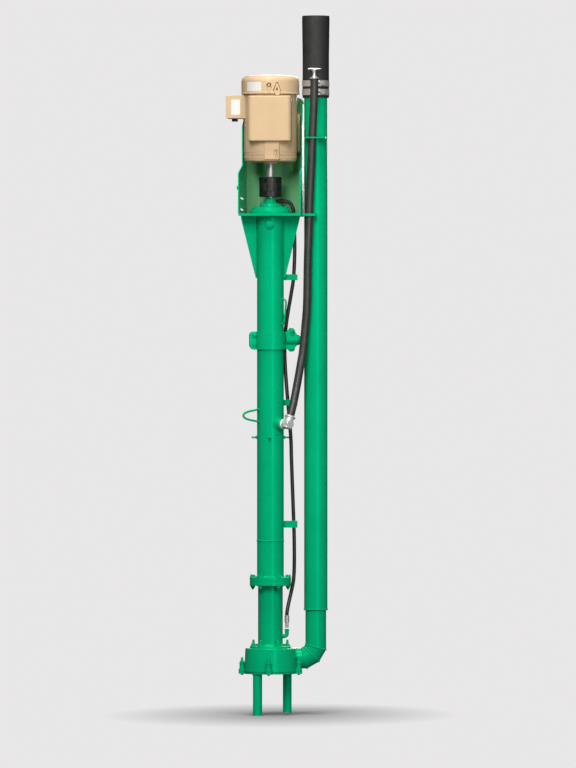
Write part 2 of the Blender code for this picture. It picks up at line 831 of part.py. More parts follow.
def base_plate():
    """The plate on the column's top, with an ear that steadies the discharge pipe and the filler hose."""
    back = SHAFT_TO_FOOT - GAP
    edge = [
        (STAND_LEFT, BASE_FRONT),
        (STAND_RIGHT, BASE_FRONT),
        (STAND_RIGHT, -0.047),
        (0.220, -0.047),
        (0.227, -0.040),
        (0.227, 0.030),
        (STAND_RIGHT, 0.040),
        (STAND_RIGHT, back),
        (-0.130, back),
    ]
    holes = [
        circle((0, 0), PUMP_SHAFT_RADIUS + 0.012),
        circle(EAR_HOLE, FILLER_HOSE_RADIUS + 0.0018),
        circle(GREASE_HOLE, GREASE_HOSE_RADIUS + 0.0014, 16),
    ]
    base = plate("base_plate", [edge] + holes, BASE_PLATE_LOW, BASE_PLATE_TOP, GREEN)
    cutter = pipe_cutter("base_saddle", BASE_PLATE_LOW - 0.05, BASE_PLATE_TOP + 0.05)
    combine(base, cutter, "DIFFERENCE")


def gussets():
    """Triangular plates that carry the base plate on the column, left and right."""
    inner = COLUMN_RADIUS + 0.0004
    outer = 0.144
    top = BASE_PLATE_LOW - GAP
    for name, side in {"gusset_left": -1, "gusset_right": 1}.items():
        outline = [
            (side * inner, top),
            (side * outer, top),
            (side * outer, top - 0.012),
            (side * (inner + 0.006), GUSSET_LOW),
            (side * inner, GUSSET_LOW),
        ]
        upright_plate(name, [outline], -0.005, 0.005, GREEN)


def bearing_housing():
    low = BASE_PLATE_TOP + GAP
    profile = [
        (BEARING_BORE, low + 0.076),
        (HOUSING_NECK_RADIUS - 0.0015, low + 0.076),
        (HOUSING_NECK_RADIUS, low + 0.073),
        (HOUSING_NECK_RADIUS, low + 0.052),
        (0.048, low + 0.050),
        (0.053, low + 0.046),
        (0.056, low + 0.034),
        (0.090, low + 0.029),
        (0.095, low + 0.025),
        (0.096, low + 0.014),
        (HOUSING_RADIUS, low + 0.013),
        (HOUSING_RADIUS, low),
        (BEARING_BORE, low),
    ]
    turned("bearing_housing", profile, GREEN, closed=True)


def grease_inlet():
    """The fitting that joins the grease hose's upper end to the bearing housing."""
    hose_end = Vector(GREASE_ROUTE[-1])
    outward = Vector((hose_end.x, hose_end.y, 0)).normalized()
    end = hose_end - outward * GAP
    start = Vector((0, 0, hose_end.z)) + outward * (HOUSING_NECK_RADIUS + RUNNING_GAP)
    collar = end - outward * 0.0155
    points = [start, collar - outward * 0.0005, collar, end]
    swept("grease_inlet", points, 0.0085, BLACK_IRON, [0.8, 0.8, 1.25, 1.25])


def motor():
    """The motor's pieces: end bell, body, fan cover, front cover, conduit box and feet."""
    bore = MOTOR_SHAFT_RADIUS + RUNNING_GAP
    blind = MOTOR_SHAFT_TOP + 0.004
    bell = [
        (0, MOTOR_SPLIT),
        (MOTOR_RADIUS, MOTOR_SPLIT),
        (MOTOR_RADIUS, MOTOR_LOW + 0.012),
        (MOTOR_RADIUS - 0.004, MOTOR_LOW + 0.003),
        (MOTOR_RADIUS - 0.012, MOTOR_LOW),
        (0.034, MOTOR_LOW),
        (0.032, MOTOR_LOW - 0.007),
        (bore, MOTOR_LOW - 0.007),
        (bore, blind),
        (0, blind),
    ]
    turned("motor_end_bell", bell, BEIGE)
    body = [
        (0, FAN_COVER_LOW - GAP),
        (MOTOR_RADIUS, FAN_COVER_LOW - GAP),
        (MOTOR_RADIUS, MOTOR_SPLIT + GAP),
        (0, MOTOR_SPLIT + GAP),
    ]
    turned("motor_body", body, BEIGE)
    crown = FAN_COVER_LOW + 0.097
    shoulder = 0.027
    fan_cover = [(0, crown), (0.070, crown - 0.002)]
    centre = (FAN_COVER_RADIUS - shoulder, crown - 0.008 - shoulder)
    fan_cover += arc(centre, shoulder, 80, 0, 6)
    fan_cover += [
        (FAN_COVER_RADIUS, FAN_COVER_LOW + 0.007),
        (FAN_COVER_RADIUS + 0.0015, FAN_COVER_LOW + 0.006),
        (FAN_COVER_RADIUS + 0.0015, FAN_COVER_LOW),
        (0, FAN_COVER_LOW),
    ]
    turned("fan_cover", fan_cover, BEIGE)
    motor_front_cover()
    conduit_box()
    motor_feet()


def motor_cutter(name):
    """The space of the motor's round body, for a piece that fits against it."""
    return rod(name, (0, 0, MOTOR_LOW), (0, 0, FAN_COVER_LOW + 0.05), MOTOR_RADIUS + 0.0005, None, ROUND)


def motor_front_cover():
    """The tall box on the motor's front, with rounded upright edges."""
    left, right = -0.1025, 0.1105
    front, back = -0.160, -0.050
    low, high = 2.808, 3.030
    corner = 0.022
    outline = arc((left + corner, front + corner), corner, 180, 270, 6)
    outline += arc((right - corner, front + corner), corner, 270, 360, 6)
    outline += [(right, back), (left, back)]
    cover = plate("motor_front_cover", [outline], low, high, BEIGE)
    combine(cover, motor_cutter("front_cover_seat"), "DIFFERENCE")


def conduit_box():
    left, inner, half_depth = -0.215, -0.100, 0.050
    low, high = 2.922, 3.0355
    solid = box("conduit_box", (left, -half_depth, low), (inner, half_depth, high), BEIGE, bevel=0.006)
    combine(solid, motor_cutter("conduit_box_seat"), "DIFFERENCE")


def motor_feet():
    """The cradle under the body, whose flat back is bolted to the stand."""
    low, high = 2.750, 2.955
    sole = SHAFT_TO_FOOT - GAP
    right, left = 0.140, -0.121
    spread = math.degrees(math.acos(0.098 / (MOTOR_RADIUS + 0.0005)))
    outline = [(left, sole), (left, sole - 0.012), (-0.104, sole - 0.016)]
    outline += arc((0, 0), MOTOR_RADIUS + 0.0005, 180 - spread, spread, 16)
    outline += [(0.104, sole - 0.016), (right, sole - 0.012), (right, sole)]
    plate("motor_feet", [outline], low, high, BEIGE)


def stand():
    """The back plate and the two side plates that hold the motor over the column."""
    left, right = -0.134, STAND_RIGHT
    low = BASE_PLATE_LOW
    corner = 0.030
    outline = [(left, low), (right, low)]
    outline += arc((right - corner, STAND_TOP - corner), corner, 0, 90, 6)
    outline += [(left + 0.010, STAND_TOP), (left, STAND_TOP - 0.010)]
    upright_plate("stand_back_plate", [outline], SHAFT_TO_FOOT, BACK_FACE, GREEN)
    foot = BASE_PLATE_TOP + GAP
    side = [
        (0, foot),
        (0.243, foot),
        (0.243, 2.655),
        (0.118, 2.695),
        (0.118, 2.882),
        (0.074, 2.914),
        (0.074, 2.994),
        (0, 2.994),
    ]
    start = Vector((-0.1275, SHAFT_TO_FOOT - 0.0008, 0))
    flare = math.atan2(STAND_LEFT - start.x, -(BASE_FRONT - start.y))
    make_side("stand_side_left", side, start, flare, slotted=True)
    start = Vector((STAND_RIGHT - SIDE_THICKNESS / 2, SHAFT_TO_FOOT - 0.0008, 0))
    make_side("stand_side_right", side, start, 0.0, slotted=False)


def make_side(name, outline, start, flare, slotted):
    """A side plate of the stand: outline in distance forward and height, swung out by flare."""
    holes = []
    if slotted:
        for height in (2.532, 2.477):
            slot = arc((0.098, height + 0.002), 0.006, 90, 270, 6)
            slot += arc((0.140, height - 0.002), 0.006, -90, 90, 6)
            holes.append(slot)
    half = SIDE_THICKNESS / 2
    flat = plate(name, [outline] + holes, -half, half, GREEN)
    flat.rotation_euler = (math.pi / 2, 0, -math.pi / 2 + flare)
    flat.location = start


def jaw(name, bearing, low, high):
    """One jaw of a coupling hub: a block of its outer ring."""
    inner, outer, half = 0.024, COUPLING_RADIUS, 19
    outline = arc((0, 0), outer, bearing - half, bearing + half, 5)
    outline += arc((0, 0), inner, bearing + half, bearing - half, 3)
    return plate(name, [outline], low, high, None)


def coupling():
    """Two jawed hubs with a rubber spider between them."""
    bore_low = PUMP_SHAFT_RADIUS + GAP
    bore_high = MOTOR_SHAFT_RADIUS + GAP
    lower_top = COUPLING_LOW + HUB_LENGTH
    upper_low = COUPLING_TOP - HUB_LENGTH
    lower = turned(
        "coupling_lower",
        [
            (bore_low, lower_top),
            (COUPLING_RADIUS, lower_top),
            (COUPLING_RADIUS, COUPLING_LOW + 0.003),
            (COUPLING_RADIUS - 0.003, COUPLING_LOW),
            (bore_low, COUPLING_LOW),
        ],
        BLACK_IRON,
        closed=True,
    )
    upper = turned(
        "coupling_upper",
        [
            (bore_high, COUPLING_TOP),
            (COUPLING_RADIUS - 0.003, COUPLING_TOP),
            (COUPLING_RADIUS, COUPLING_TOP - 0.003),
            (COUPLING_RADIUS, upper_low),
            (bore_high, upper_low),
        ],
        BLACK_IRON,
        closed=True,
    )
    for index in range(3):
        bearing = 120 * index
        combine(lower, jaw(f"lower_jaw_{index}", bearing + 90, lower_top - 0.002, upper_low - GAP), "UNION")
        combine(upper, jaw(f"upper_jaw_{index}", bearing + 270, lower_top + GAP, upper_low + 0.002), "UNION")
    web = 11
    star = []
    for index in range(6):
        middle = 60 * index
        tip = web - 0.6
        root = web - 1.4
        star += arc((0, 0), COUPLING_RADIUS - 0.001, middle - tip, middle + tip, 3)
        star += arc((0, 0), 0.0234, middle + root, middle + 60 - root, 4)
    hole = circle((0, 0), 0.0200)
    plate("coupling_spider", [star, hole], lower_top + GAP, upper_low - GAP, BLACK_RUBBER)


def shafts():
    rod("pump_shaft", (0, 0, PUMP_SHAFT_LOW), (0, 0, PUMP_SHAFT_TOP), PUMP_SHAFT_RADIUS, BRIGHT_STEEL)
    rod("motor_shaft", (0, 0, MOTOR_SHAFT_LOW), (0, 0, MOTOR_SHAFT_TOP), MOTOR_SHAFT_RADIUS, BRIGHT_STEEL)


def impeller():
    """An open impeller: a hub and back disc with swept vanes below it."""
    top = 0.300
    socket = PUMP_SHAFT_RADIUS + GAP
    profile = [
        (0, PUMP_SHAFT_LOW - GAP),
        (socket, PUMP_SHAFT_LOW - GAP),
        (socket, top),
        (IMPELLER_RADIUS, top),
        (IMPELLER_RADIUS, top - 0.008),
        (0.034, top - 0.012),
        (0.028, 0.226),
        (0.020, 0.221),
        (0, 0.221),
    ]
    wheel = turned("impeller", profile, BLACK_IRON, sides=32)
    for index in range(VANE_COUNT):
        start = 360 * index / VANE_COUNT
        lead, trail = [], []
        for step in range(6):
            radius = 0.024 + (IMPELLER_RADIUS - 0.026) * step / 5
            sweep = start + 62 * step / 5
            half = math.degrees(0.003 / radius)
            lead.append(at_bearing((0, 0), radius, sweep - half))
            trail.append(at_bearing((0, 0), radius, sweep + half))
        vane = plate(f"vane_{index}", [lead + trail[::-1]], 0.224, top - 0.004, None)
        combine(wheel, vane, "UNION")


clear_scene()
PARTS = make_collection("slurry_pump")
CUTTERS = make_collection("cutters")
DATUM = make_empty("pump_datum", (0, -BACK_FACE, -BASE_PLATE_TOP))

legs()
bottom_plate()
volute_casing()
volute_cover()
lower_column()
upper_column()
filler_elbow()
filler_hose()
filler_plug()
grease_hose()
grease_fitting()
hose_clips()
cable_loop()
side_loop()
collar_and_brace()
discharge_elbow()
discharge_pipe()
discharge_hose()
band_clamps()
guide_plate()
base_plate()
gussets()
bearing_housing()
grease_inlet()
motor()
stand()
coupling()
shafts()
impeller()
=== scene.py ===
"""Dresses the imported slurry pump: painted castings, tubes, welds, fasteners, hoses, finishes and studio.

Everything is modelled in metres from the column's axis, with X to the right, Y to the back and Z above the
feet, as in the CAD source. finish_piece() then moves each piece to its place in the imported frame.
"""

import json
import math

import bpy
from bpy.props import FloatProperty, FloatVectorProperty, IntProperty, PointerProperty
from mathutils import Matrix, Vector


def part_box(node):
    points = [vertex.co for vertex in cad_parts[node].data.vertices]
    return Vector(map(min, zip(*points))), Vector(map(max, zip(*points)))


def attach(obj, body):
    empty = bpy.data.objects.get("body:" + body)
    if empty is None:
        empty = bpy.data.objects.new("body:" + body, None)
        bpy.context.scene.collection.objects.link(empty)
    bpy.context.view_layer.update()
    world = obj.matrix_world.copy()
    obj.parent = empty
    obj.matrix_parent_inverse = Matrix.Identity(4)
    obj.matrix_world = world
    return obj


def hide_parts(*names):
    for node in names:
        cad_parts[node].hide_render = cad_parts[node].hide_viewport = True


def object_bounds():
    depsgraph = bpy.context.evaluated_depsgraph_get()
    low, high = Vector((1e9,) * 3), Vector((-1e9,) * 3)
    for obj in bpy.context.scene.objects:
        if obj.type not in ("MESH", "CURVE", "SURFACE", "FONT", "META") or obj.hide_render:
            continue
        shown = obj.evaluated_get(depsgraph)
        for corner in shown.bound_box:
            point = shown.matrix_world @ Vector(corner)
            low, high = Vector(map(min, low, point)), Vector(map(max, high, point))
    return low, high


bl_info = {
    "name": "Slurry pump dressing",
    "version": (1, 0, 0),
    "blender": (4, 5, 0),
    "location": "3D View > Sidebar > Pump",
    "description": "Painted castings, tubes, welds, fasteners, hoses and studio of a vertical slurry pump",
    "category": "Object",
}

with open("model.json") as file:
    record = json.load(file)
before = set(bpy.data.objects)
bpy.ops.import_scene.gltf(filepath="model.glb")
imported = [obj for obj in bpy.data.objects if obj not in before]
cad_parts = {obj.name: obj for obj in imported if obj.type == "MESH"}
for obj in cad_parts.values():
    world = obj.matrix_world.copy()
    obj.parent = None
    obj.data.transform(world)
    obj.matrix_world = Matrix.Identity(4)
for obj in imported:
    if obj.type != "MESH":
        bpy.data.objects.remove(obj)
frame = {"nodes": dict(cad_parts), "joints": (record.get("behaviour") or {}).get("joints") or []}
CAD_LOW, CAD_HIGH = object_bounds()
SPIN_AXIS = frame["joints"][0]["pos_m"]
DATUM = Vector((SPIN_AXIS[0], SPIN_AXIS[1], CAD_LOW.z))
UP = Vector((0, 0, 1))
FORWARD = Vector((0, -1, 0))

# Sides of the largest, large, middling and small round pieces
FINE = 128
ROUND = 96
MEDIUM = 48
SMALL = 24

# Points closer than MERGE are one, touching pieces stand GAP apart, and a cutter runs PAST the face it cuts
MERGE = 0.00001
GAP = 0.0003
PAST = 0.01
SMOOTH_ANGLE = math.radians(34)
SHARP_ANGLE = math.radians(38)

# Sizes of tubes, plates and castings
COLUMN_RADIUS = 0.0655
LOWER_COLUMN_RADIUS = 0.0605
COLUMN_WALL = 0.0063
FLANGE_RADIUS = 0.101
LOWER_FLANGE = 0.0205
UPPER_FLANGE = 0.0202
FLANGE_BOLT_CIRCLE = 0.0865
SHAFT_RADIUS = 0.019
SHAFT_BORE = SHAFT_RADIUS + 0.0005
CASING_RADIUS_LOW = 0.129
CASING_RADIUS_HIGH = 0.1225
CASING_BORE = 0.108
CASING_ROOF = 0.014
COVER_FLANGE = 0.0145
BOTTOM_RADIUS = 0.126
LUG_CIRCLE = 0.139
LUG_RADIUS = 0.017
LUG_HEIGHT = 0.014
SUCTION_RADIUS = 0.052
LEGS = ("leg_front_left", "leg_back_left", "leg_back_right")
PIPE_RADIUS = 0.05715
PIPE_BORE = 0.0513
ELBOW_RADIUS = 0.0508
ELBOW_WALL = 0.004
ELBOW_HEIGHT = 0.277
BEND_RADIUS = 0.076
MOTOR_RADIUS = 0.130
FAN_COVER_RADIUS = 0.142
SHAFT_TO_FOOT = 0.13335
STAND_FACE = SHAFT_TO_FOOT - 0.0008
COUPLING_RADIUS = 0.055
SIDE_THICKNESS = 0.006
LEFT_HINGE = -0.1275
PLATE_RIGHT = 0.156
FILLER_BOSS_HEIGHT = 1.4255
FILLER_BOSS_RADIUS = 0.028
FILLER_BOSS_REACH = 0.096
FILLER_HOSE_RADIUS = 0.0195
GREASE_HOSE_RADIUS = 0.009
LEVEL_PLUG_HEIGHT = 2.401
COLLAR_LOW = 1.790
COLLAR_HIGH = 1.879
COLLAR_SPLIT = 0.0008
COLLAR_EAR = 0.010
COLLAR_INNER = COLUMN_RADIUS + 0.0005
COLLAR_OUTER = COLUMN_RADIUS + 0.0085
GRIP_REACH = 0.106
GRIP_RISE = 0.0425
BRACE_HEIGHT = 1.839
BRACE_RADIUS = 0.0205
EAR_HOLE = (0.1915, -0.016)
GUIDE_HOLE = (0.2065, -0.020)
GREASE_HOLE = (0.114, 0.030)

# Bearings of the end bell's bolts: those at the front, then the same ones opposite
FRONT_BOLTS = (-136.8, -125.7, -65.8, -49.3, -36.7)
BELL_BOLTS = FRONT_BOLTS + tuple(bearing + 180 for bearing in FRONT_BOLTS)

# The hoses' routes, from the column's axis and the feet
FILLER_ROUTE = [
    (0.1025, -0.088, 1.465),
    (0.108, -0.083, 1.485),
    (0.1205, -0.066, 1.544),
    (0.131, -0.052, 1.602),
    (0.141, -0.040, 1.661),
    (0.1505, -0.030, 1.720),
    (0.160, -0.022, 1.779),
    (0.171, -0.016, 1.896),
    (0.180, -0.016, 2.014),
    (0.184, -0.016, 2.229),
    (0.1895, -0.016, 2.400),
    (0.1925, -0.016, 2.500),
    (0.2005, -0.018, 2.680),
    (0.2065, -0.020, 2.828),
    (0.211, -0.023, 2.920),
    (0.2155, -0.025, 3.028),
    (0.2170, -0.025, 3.090),
    (0.2170, -0.025, 3.116),
]
GREASE_ROUTE = [
    (0.081, 0.000, 0.488),
    (0.081, 0.000, 0.500),
    (0.088, 0.010, 0.544),
    (0.1005, 0.026, 0.603),
    (0.1115, 0.030, 0.661),
    (0.1155, 0.030, 0.740),
    (0.1150, 0.030, 0.860),
    (0.1130, 0.030, 0.935),
    (0.1085, 0.030, 1.060),
    (0.1015, 0.032, 1.250),
    (0.0980, 0.032, 1.362),
    (0.0840, 0.034, 1.530),
    (0.0760, 0.044, 1.620),
    (0.0680, 0.058, 1.730),
    (0.0670, 0.062, 1.839),
    (0.0780, 0.050, 1.940),
    (0.0990, 0.036, 2.060),
    (0.1120, 0.030, 2.145),
    (0.1175, 0.029, 2.270),
    (0.1160, 0.030, 2.380),
    (0.1140, 0.030, 2.450),
    (0.1085, 0.030, 2.483),
    (0.0950, 0.0315, 2.508),
    (0.0711, 0.0290, 2.519),
    (0.0600, 0.0245, 2.519),
]


def span(node):
    """A CAD node's lowest and highest corners, from the column's axis and the feet."""
    low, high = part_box(node)
    return low - DATUM, high - DATUM


def middle(node):
    """The X and Y of the middle of a CAD node."""
    low, high = span(node)
    return (low.x + high.x) / 2, (low.y + high.y) / 2


PIPE_SPOT = middle("discharge_pipe")
BRACE_BEARING = math.atan2(PIPE_SPOT[1], PIPE_SPOT[0])
PLATE_TOP = span("base_plate")[1].z
FLANGE_LOW = span("lower_column")[1].z - LOWER_FLANGE
FLANGE_HIGH = span("upper_column")[0].z + UPPER_FLANGE


# Settings


def colour(name, description, default):
    """A colour setting."""
    return FloatVectorProperty(
        name=name, description=description, subtype="COLOR", default=default, min=0, max=1
    )


def measure(name, description, default, low, high, unit="LENGTH"):
    """A setting with a size, a turn or a power."""
    return FloatProperty(name=name, description=description, default=default, min=low, max=high, unit=unit)


class PumpColours(bpy.types.PropertyGroup):
    """The base colours of the pump's finishes."""

    green: colour("Green enamel", "Paint on the column, volute, pipe and stand", (0.0010, 0.385, 0.163))
    # The back plate's paint is a greyer, less glossy green than the rest of the green paint.
    dull: colour("Dull green", "The greyer green on the stand's back plate", (0.130, 0.360, 0.165))
    beige: colour("Beige enamel", "Paint on the motor", (0.572, 0.408, 0.242))
    rubber: colour("Rubber", "All three hoses and the coupling's spider", (0.040, 0.040, 0.037))
    iron: colour("Blackened iron", "The coupling, impeller and small iron fittings", (0.022, 0.021, 0.020))
    steel: colour("Bright steel", "Shafts, band clamps, hose crimp and plug", (0.60, 0.585, 0.565))
    zinc: colour("Zinc", "The galvanised filler elbow", (0.74, 0.74, 0.72))
    label: colour("Blank label", "The motor's two blank labels", (0.70, 0.675, 0.650))


class PumpDetail(bpy.types.PropertyGroup):
    """Sizes of the small things that repeat."""

    edge: measure("Edge rounding", "How far the edges of plates are rounded", 0.0010, 0.0002, 0.003)
    bead: measure("Weld bead", "Radius of a weld bead, half of which shows", 0.0050, 0.002, 0.008)
    ripple: measure("Weld ripple", "Length of one ripple of a weld bead", 0.0042, 0.002, 0.010)
    bolt: measure("Bolt size", "Thread diameter of the volute's and flange's bolts", 0.0125, 0.008, 0.016)
    vents: IntProperty(
        name="Vents", description="Number of slots in the fan cover's crown", default=28, min=12, max=48
    )


class PumpStudio(bpy.types.PropertyGroup):
    """Camera, floor and lights."""

    backdrop: colour("Backdrop", "Colour of the floor and of the backdrop", (0.812, 0.799, 0.807))
    distance: measure("Camera distance", "From the camera to the pump", 40.0, 10, 80)
    turn: measure(
        "Camera turn", "How far it stands to the right", math.radians(3.5), -math.pi, math.pi, "ROTATION"
    )
    tall: measure("Picture height", "Height that the picture takes in at the pump", 3.763, 2, 8)
    key: measure("Key light", "Power of the soft light at the front left", 560.0, 0, 3000, "POWER")
    strip: measure("Strip light", "Power of the tall light at the front right", 150.0, 0, 2000, "POWER")
    top: measure("Top light", "Power of the soft light overhead", 400.0, 0, 3000, "POWER")
    fill: measure("Back light", "Power of the soft light behind the pump", 260.0, 0, 3000, "POWER")
    ambient: measure("Room light", "Strength of the light from all round", 0.20, 0, 3, "NONE")


# Modelling by hand


def rest():
    """Back to object mode, with nothing selected."""
    if bpy.context.mode != "OBJECT":
        bpy.ops.object.mode_set(mode="OBJECT")
    bpy.ops.object.select_all(action="DESELECT")


def choose(*pieces):
    """Selects just these pieces, the last one active."""
    rest()
    for piece in pieces:
        piece.select_set(True)
    bpy.context.view_layer.objects.active = pieces[-1]


def named(name):
    """The active piece, with its name given."""
    piece = bpy.context.active_object
    piece.name = name
    piece.data.name = name
    return piece


def apply_place(piece):
    """Puts a piece's place and turn into its mesh."""
    choose(piece)
    bpy.ops.object.transform_apply(location=True, rotation=True, scale=True)
    return piece


def clean_shell():
    """Merges what meets, turns the faces outwards and leaves edit mode."""
    bpy.ops.mesh.select_all(action="SELECT")
    bpy.ops.mesh.remove_doubles(threshold=MERGE)
    bpy.ops.mesh.normals_make_consistent(inside=False)
    bpy.ops.object.mode_set(mode="OBJECT")


def rounded(corners, closed=False, steps=4):
    """The points of an outline; a corner's third value is the radius that it is rounded to."""
    points = []
    for index, corner in enumerate(corners):
        here = Vector(corner[:2])
        if len(corner) < 3:
            points.append(here)
            continue
        before = (Vector(corners[index - 1][:2]) - here).normalized()
        after = (Vector(corners[(index + 1) % len(corners)][:2]) - here).normalized()
        half = before.angle(after) / 2
        start = before * (corner[2] / math.tan(half))
        end = after * (corner[2] / math.tan(half))
        centre = (before + after).normalized() * (corner[2] / math.sin(half))
        for step in range(steps + 1):
            spoke = (start - centre).slerp(end - centre, step / steps).normalized()
            points.append(here + centre + spoke * corner[2])
    if closed:
        points.append(points[0])
    return points


def trace(points):
    """Draws a line of edges by extruding one vertex, in a new mesh or in the one being edited."""
    points = [Vector(point) for point in points]
    if bpy.context.mode == "EDIT_MESH":
        bpy.ops.mesh.select_all(action="DESELECT")
        bpy.ops.mesh.primitive_plane_add(size=0.001)
    else:
        rest()
        bpy.ops.mesh.primitive_plane_add(size=0.001)
        bpy.ops.object.mode_set(mode="EDIT")
    bpy.ops.mesh.merge(type="CENTER")
    bpy.ops.transform.translate(value=points[0])
    for before, after in zip(points, points[1:]):
        bpy.ops.mesh.extrude_vertices_move(TRANSFORM_OT_translate={"value": after - before})


def turned(name, corners, spot=(0, 0), sides=ROUND, closed=False):
    """A profile of (radius, height, rounding) spun about the upright line at spot."""
    profile = rounded(corners, closed)
    trace([(spot[0] + radius, spot[1], height) for radius, height in profile])
    bpy.ops.mesh.select_all(action="SELECT")
    bpy.ops.mesh.spin(steps=sides, angle=math.tau, center=(*spot, 0), axis=UP)
    clean_shell()
    return named(name)


def laid(piece, place, facing):
    """Moves a piece that was modelled upwards from the origin, to stand at place and point along facing."""
    turn = Vector(facing).to_track_quat("Z", "Y")
    piece.matrix_world = Matrix.LocRotScale(Vector(place), turn, None)
    return apply_place(piece)


def rod(name, start, end, radius, edge=0.001, sides=MEDIUM):
    """A round bar with eased ends."""
    along = Vector(end) - Vector(start)
    corners = [(0, 0), (radius, 0, edge), (radius, along.length, edge), (0, along.length)]
    return laid(turned(name, corners, sides=sides), start, along)


def soften(piece, width, segments=2):
    """Rounds a piece's sharp edges."""
    bevel = piece.modifiers.new("rounded edges", "BEVEL")
    bevel.width = width
    bevel.segments = segments
    bevel.limit_method = "ANGLE"
    bevel.angle_limit = SHARP_ANGLE
    choose(piece)
    bpy.ops.object.modifier_apply(modifier=bevel.name)
    return piece


PLANES = {
    "XY": lambda u, v, w: Vector((u, v, w)),
    "XZ": lambda u, v, w: Vector((u, w, v)),
    "YZ": lambda u, v, w: Vector((w, u, v)),
}


def plate(name, outline, start, end, holes=(), plane="XY", edge=None):
    """A flat piece with its outline and holes in one plane, from one level to another."""
    place = PLANES[plane]
    for loop in (outline, *holes):
        trace([place(u, v, start) for u, v in rounded(loop, closed=True)])
    bpy.ops.mesh.select_all(action="SELECT")
    bpy.ops.mesh.remove_doubles(threshold=MERGE)
    if holes:
        bpy.ops.mesh.fill()
    else:
        bpy.ops.mesh.edge_face_add()
    bpy.ops.mesh.select_all(action="SELECT")
    bpy.ops.mesh.extrude_region_move(TRANSFORM_OT_translate={"value": place(0, 0, end - start)})
    clean_shell()
    if edge is None:
        edge = bpy.context.scene.pump_detail.edge
    return soften(named(name), edge)


def block(name, low, high, corner, edge, plane="XY"):
    """A box whose four edges across the plane have a larger rounding than the rest."""
    axes = {"XY": (0, 1, 2), "XZ": (0, 2, 1), "YZ": (1, 2, 0)}[plane]
    u, v, w = axes
    outline = [
        (low[u], low[v], corner),
        (high[u], low[v], corner),
        (high[u], high[v], corner),
        (low[u], high[v], corner),
    ]
    return plate(name, outline, low[w], high[w], plane=plane, edge=edge)


def at_bearing(centre, radius, degrees):
    angle = math.radians(degrees)
    return centre[0] + radius * math.cos(angle), centre[1] + radius * math.sin(angle)


def outward_at(degrees):
    """The level direction away from the column's axis at a bearing."""
    return Vector((*at_bearing((0, 0), 1.0, degrees), 0))


def core(radius, low, high):
    """A plain round cutter about the column's axis."""
    return turned("core", [(0, high), (radius, high), (radius, low), (0, low)])


def arc(centre, radius, start, end, steps):
    """Points on an arc, from the start angle to the end angle in degrees."""
    return [at_bearing(centre, radius, start + (end - start) * step / steps) for step in range(steps + 1)]


def circle(centre, radius, sides=SMALL):
    return arc(centre, radius, 0, 360 - 360 / sides, sides - 1)


def joined(name, *pieces):
    """Several closed pieces made one object."""
    choose(*pieces)
    if len(pieces) > 1:
        bpy.ops.object.join()
    return named(name)


def carve(piece, cutter, operation="DIFFERENCE"):
    """Cuts, adds or keeps what a cutter covers, and removes the cutter."""
    modifier = piece.modifiers.new("carve", "BOOLEAN")
    modifier.operation = operation
    modifier.object = cutter
    modifier.solver = "EXACT"
    choose(piece)
    bpy.ops.object.modifier_apply(modifier=modifier.name)
    choose(cutter)
    bpy.ops.object.delete()
    return piece


def smooth_route(points, step):
    """Points about one step apart on the smooth curve through a route's own points."""
    knots = [Vector(point) for point in points]
    knots = [2 * knots[0] - knots[1]] + knots + [2 * knots[-1] - knots[-2]]
    route = []
    for before, start, end, after in zip(knots, knots[1:], knots[2:], knots[3:]):
        count = max(1, round((end - start).length / step))
        for index in range(count):
            t = index / count
            bend = (2 * before - 5 * start + 4 * end - after) * t * t
            twist = (3 * start - before - 3 * end + after) * t * t * t
            route.append((2 * start + (end - before) * t + bend + twist) / 2)
    route.append(knots[-2])
    return route


def spaced(route, step, closed=False):
    """Points an even step apart along a line of straight stretches."""
    route = [Vector(point) for point in route]
    if closed:
        route.append(route[0])
    lengths = [(end - start).length for start, end in zip(route, route[1:])]
    count = max(2, round(sum(lengths) / step))
    places = []
    stretch = 0
    passed = 0.0
    for index in range(count if closed else count + 1):
        reach = sum(lengths) * index / count
        while stretch < len(lengths) - 1 and reach > passed + lengths[stretch]:
            passed += lengths[stretch]
            stretch += 1
        share = (reach - passed) / lengths[stretch]
        places.append(route[stretch].lerp(route[stretch + 1], min(1.0, share)))
    return places


def swept(name, points, radius, scales=None, sides=12, closed=False):
    """A round bar, hose or bead along points, thicker or thinner where scales says so."""
    rest()
    bpy.ops.curve.primitive_bezier_curve_add()
    curve = bpy.context.active_object.data
    curve.splines.clear()
    spline = curve.splines.new("POLY")
    spline.points.add(len(points) - 1)
    for index, point in enumerate(points):
        spline.points[index].co = (*point, 1)
        spline.points[index].radius = scales[index] if scales else 1.0
    spline.use_cyclic_u = closed
    curve.dimensions = "3D"
    curve.bevel_depth = radius
    curve.bevel_resolution = sides // 2 - 2
    curve.use_fill_caps = not closed
    bpy.ops.object.convert(target="MESH")
    bpy.ops.object.mode_set(mode="EDIT")
    clean_shell()
    return named(name)


def bead(route, closed=False, size=1.0):
    """A weld bead: a row of small overlapping ripples along a route."""
    detail = bpy.context.scene.pump_detail
    places = spaced(route, detail.ripple * size / 2, closed)
    if closed and len(places) % 2:
        places = spaced(route, detail.ripple * size / 2 * len(places) / (len(places) + 1), closed)
    scales = [1.0 if index % 2 else 0.84 for index in range(len(places))]
    return swept("bead", places, detail.bead * size, scales, sides=8, closed=closed)


def ring_route(radius, height, spot=(0, 0)):
    return [(x, y, height) for x, y in circle(spot, radius, MEDIUM)]


def hexagon(width, height):
    """A hexagon head, standing on the origin, with its upper corners chamfered."""
    rest()
    bpy.ops.mesh.primitive_cylinder_add(
        vertices=6, radius=width / math.sqrt(3), depth=height, location=(0, 0, height / 2)
    )
    head = apply_place(named("hexagon"))
    flat = 0.475 * width
    wide = 0.7 * width
    drop = (wide - flat) * math.tan(math.radians(30))
    corners = [(0, -height), (wide, -height), (wide, height - drop), (flat, height), (0, height)]
    return carve(head, turned("lens", corners), "INTERSECT")


def lifted(piece, height):
    piece.location.z = height
    return apply_place(piece)


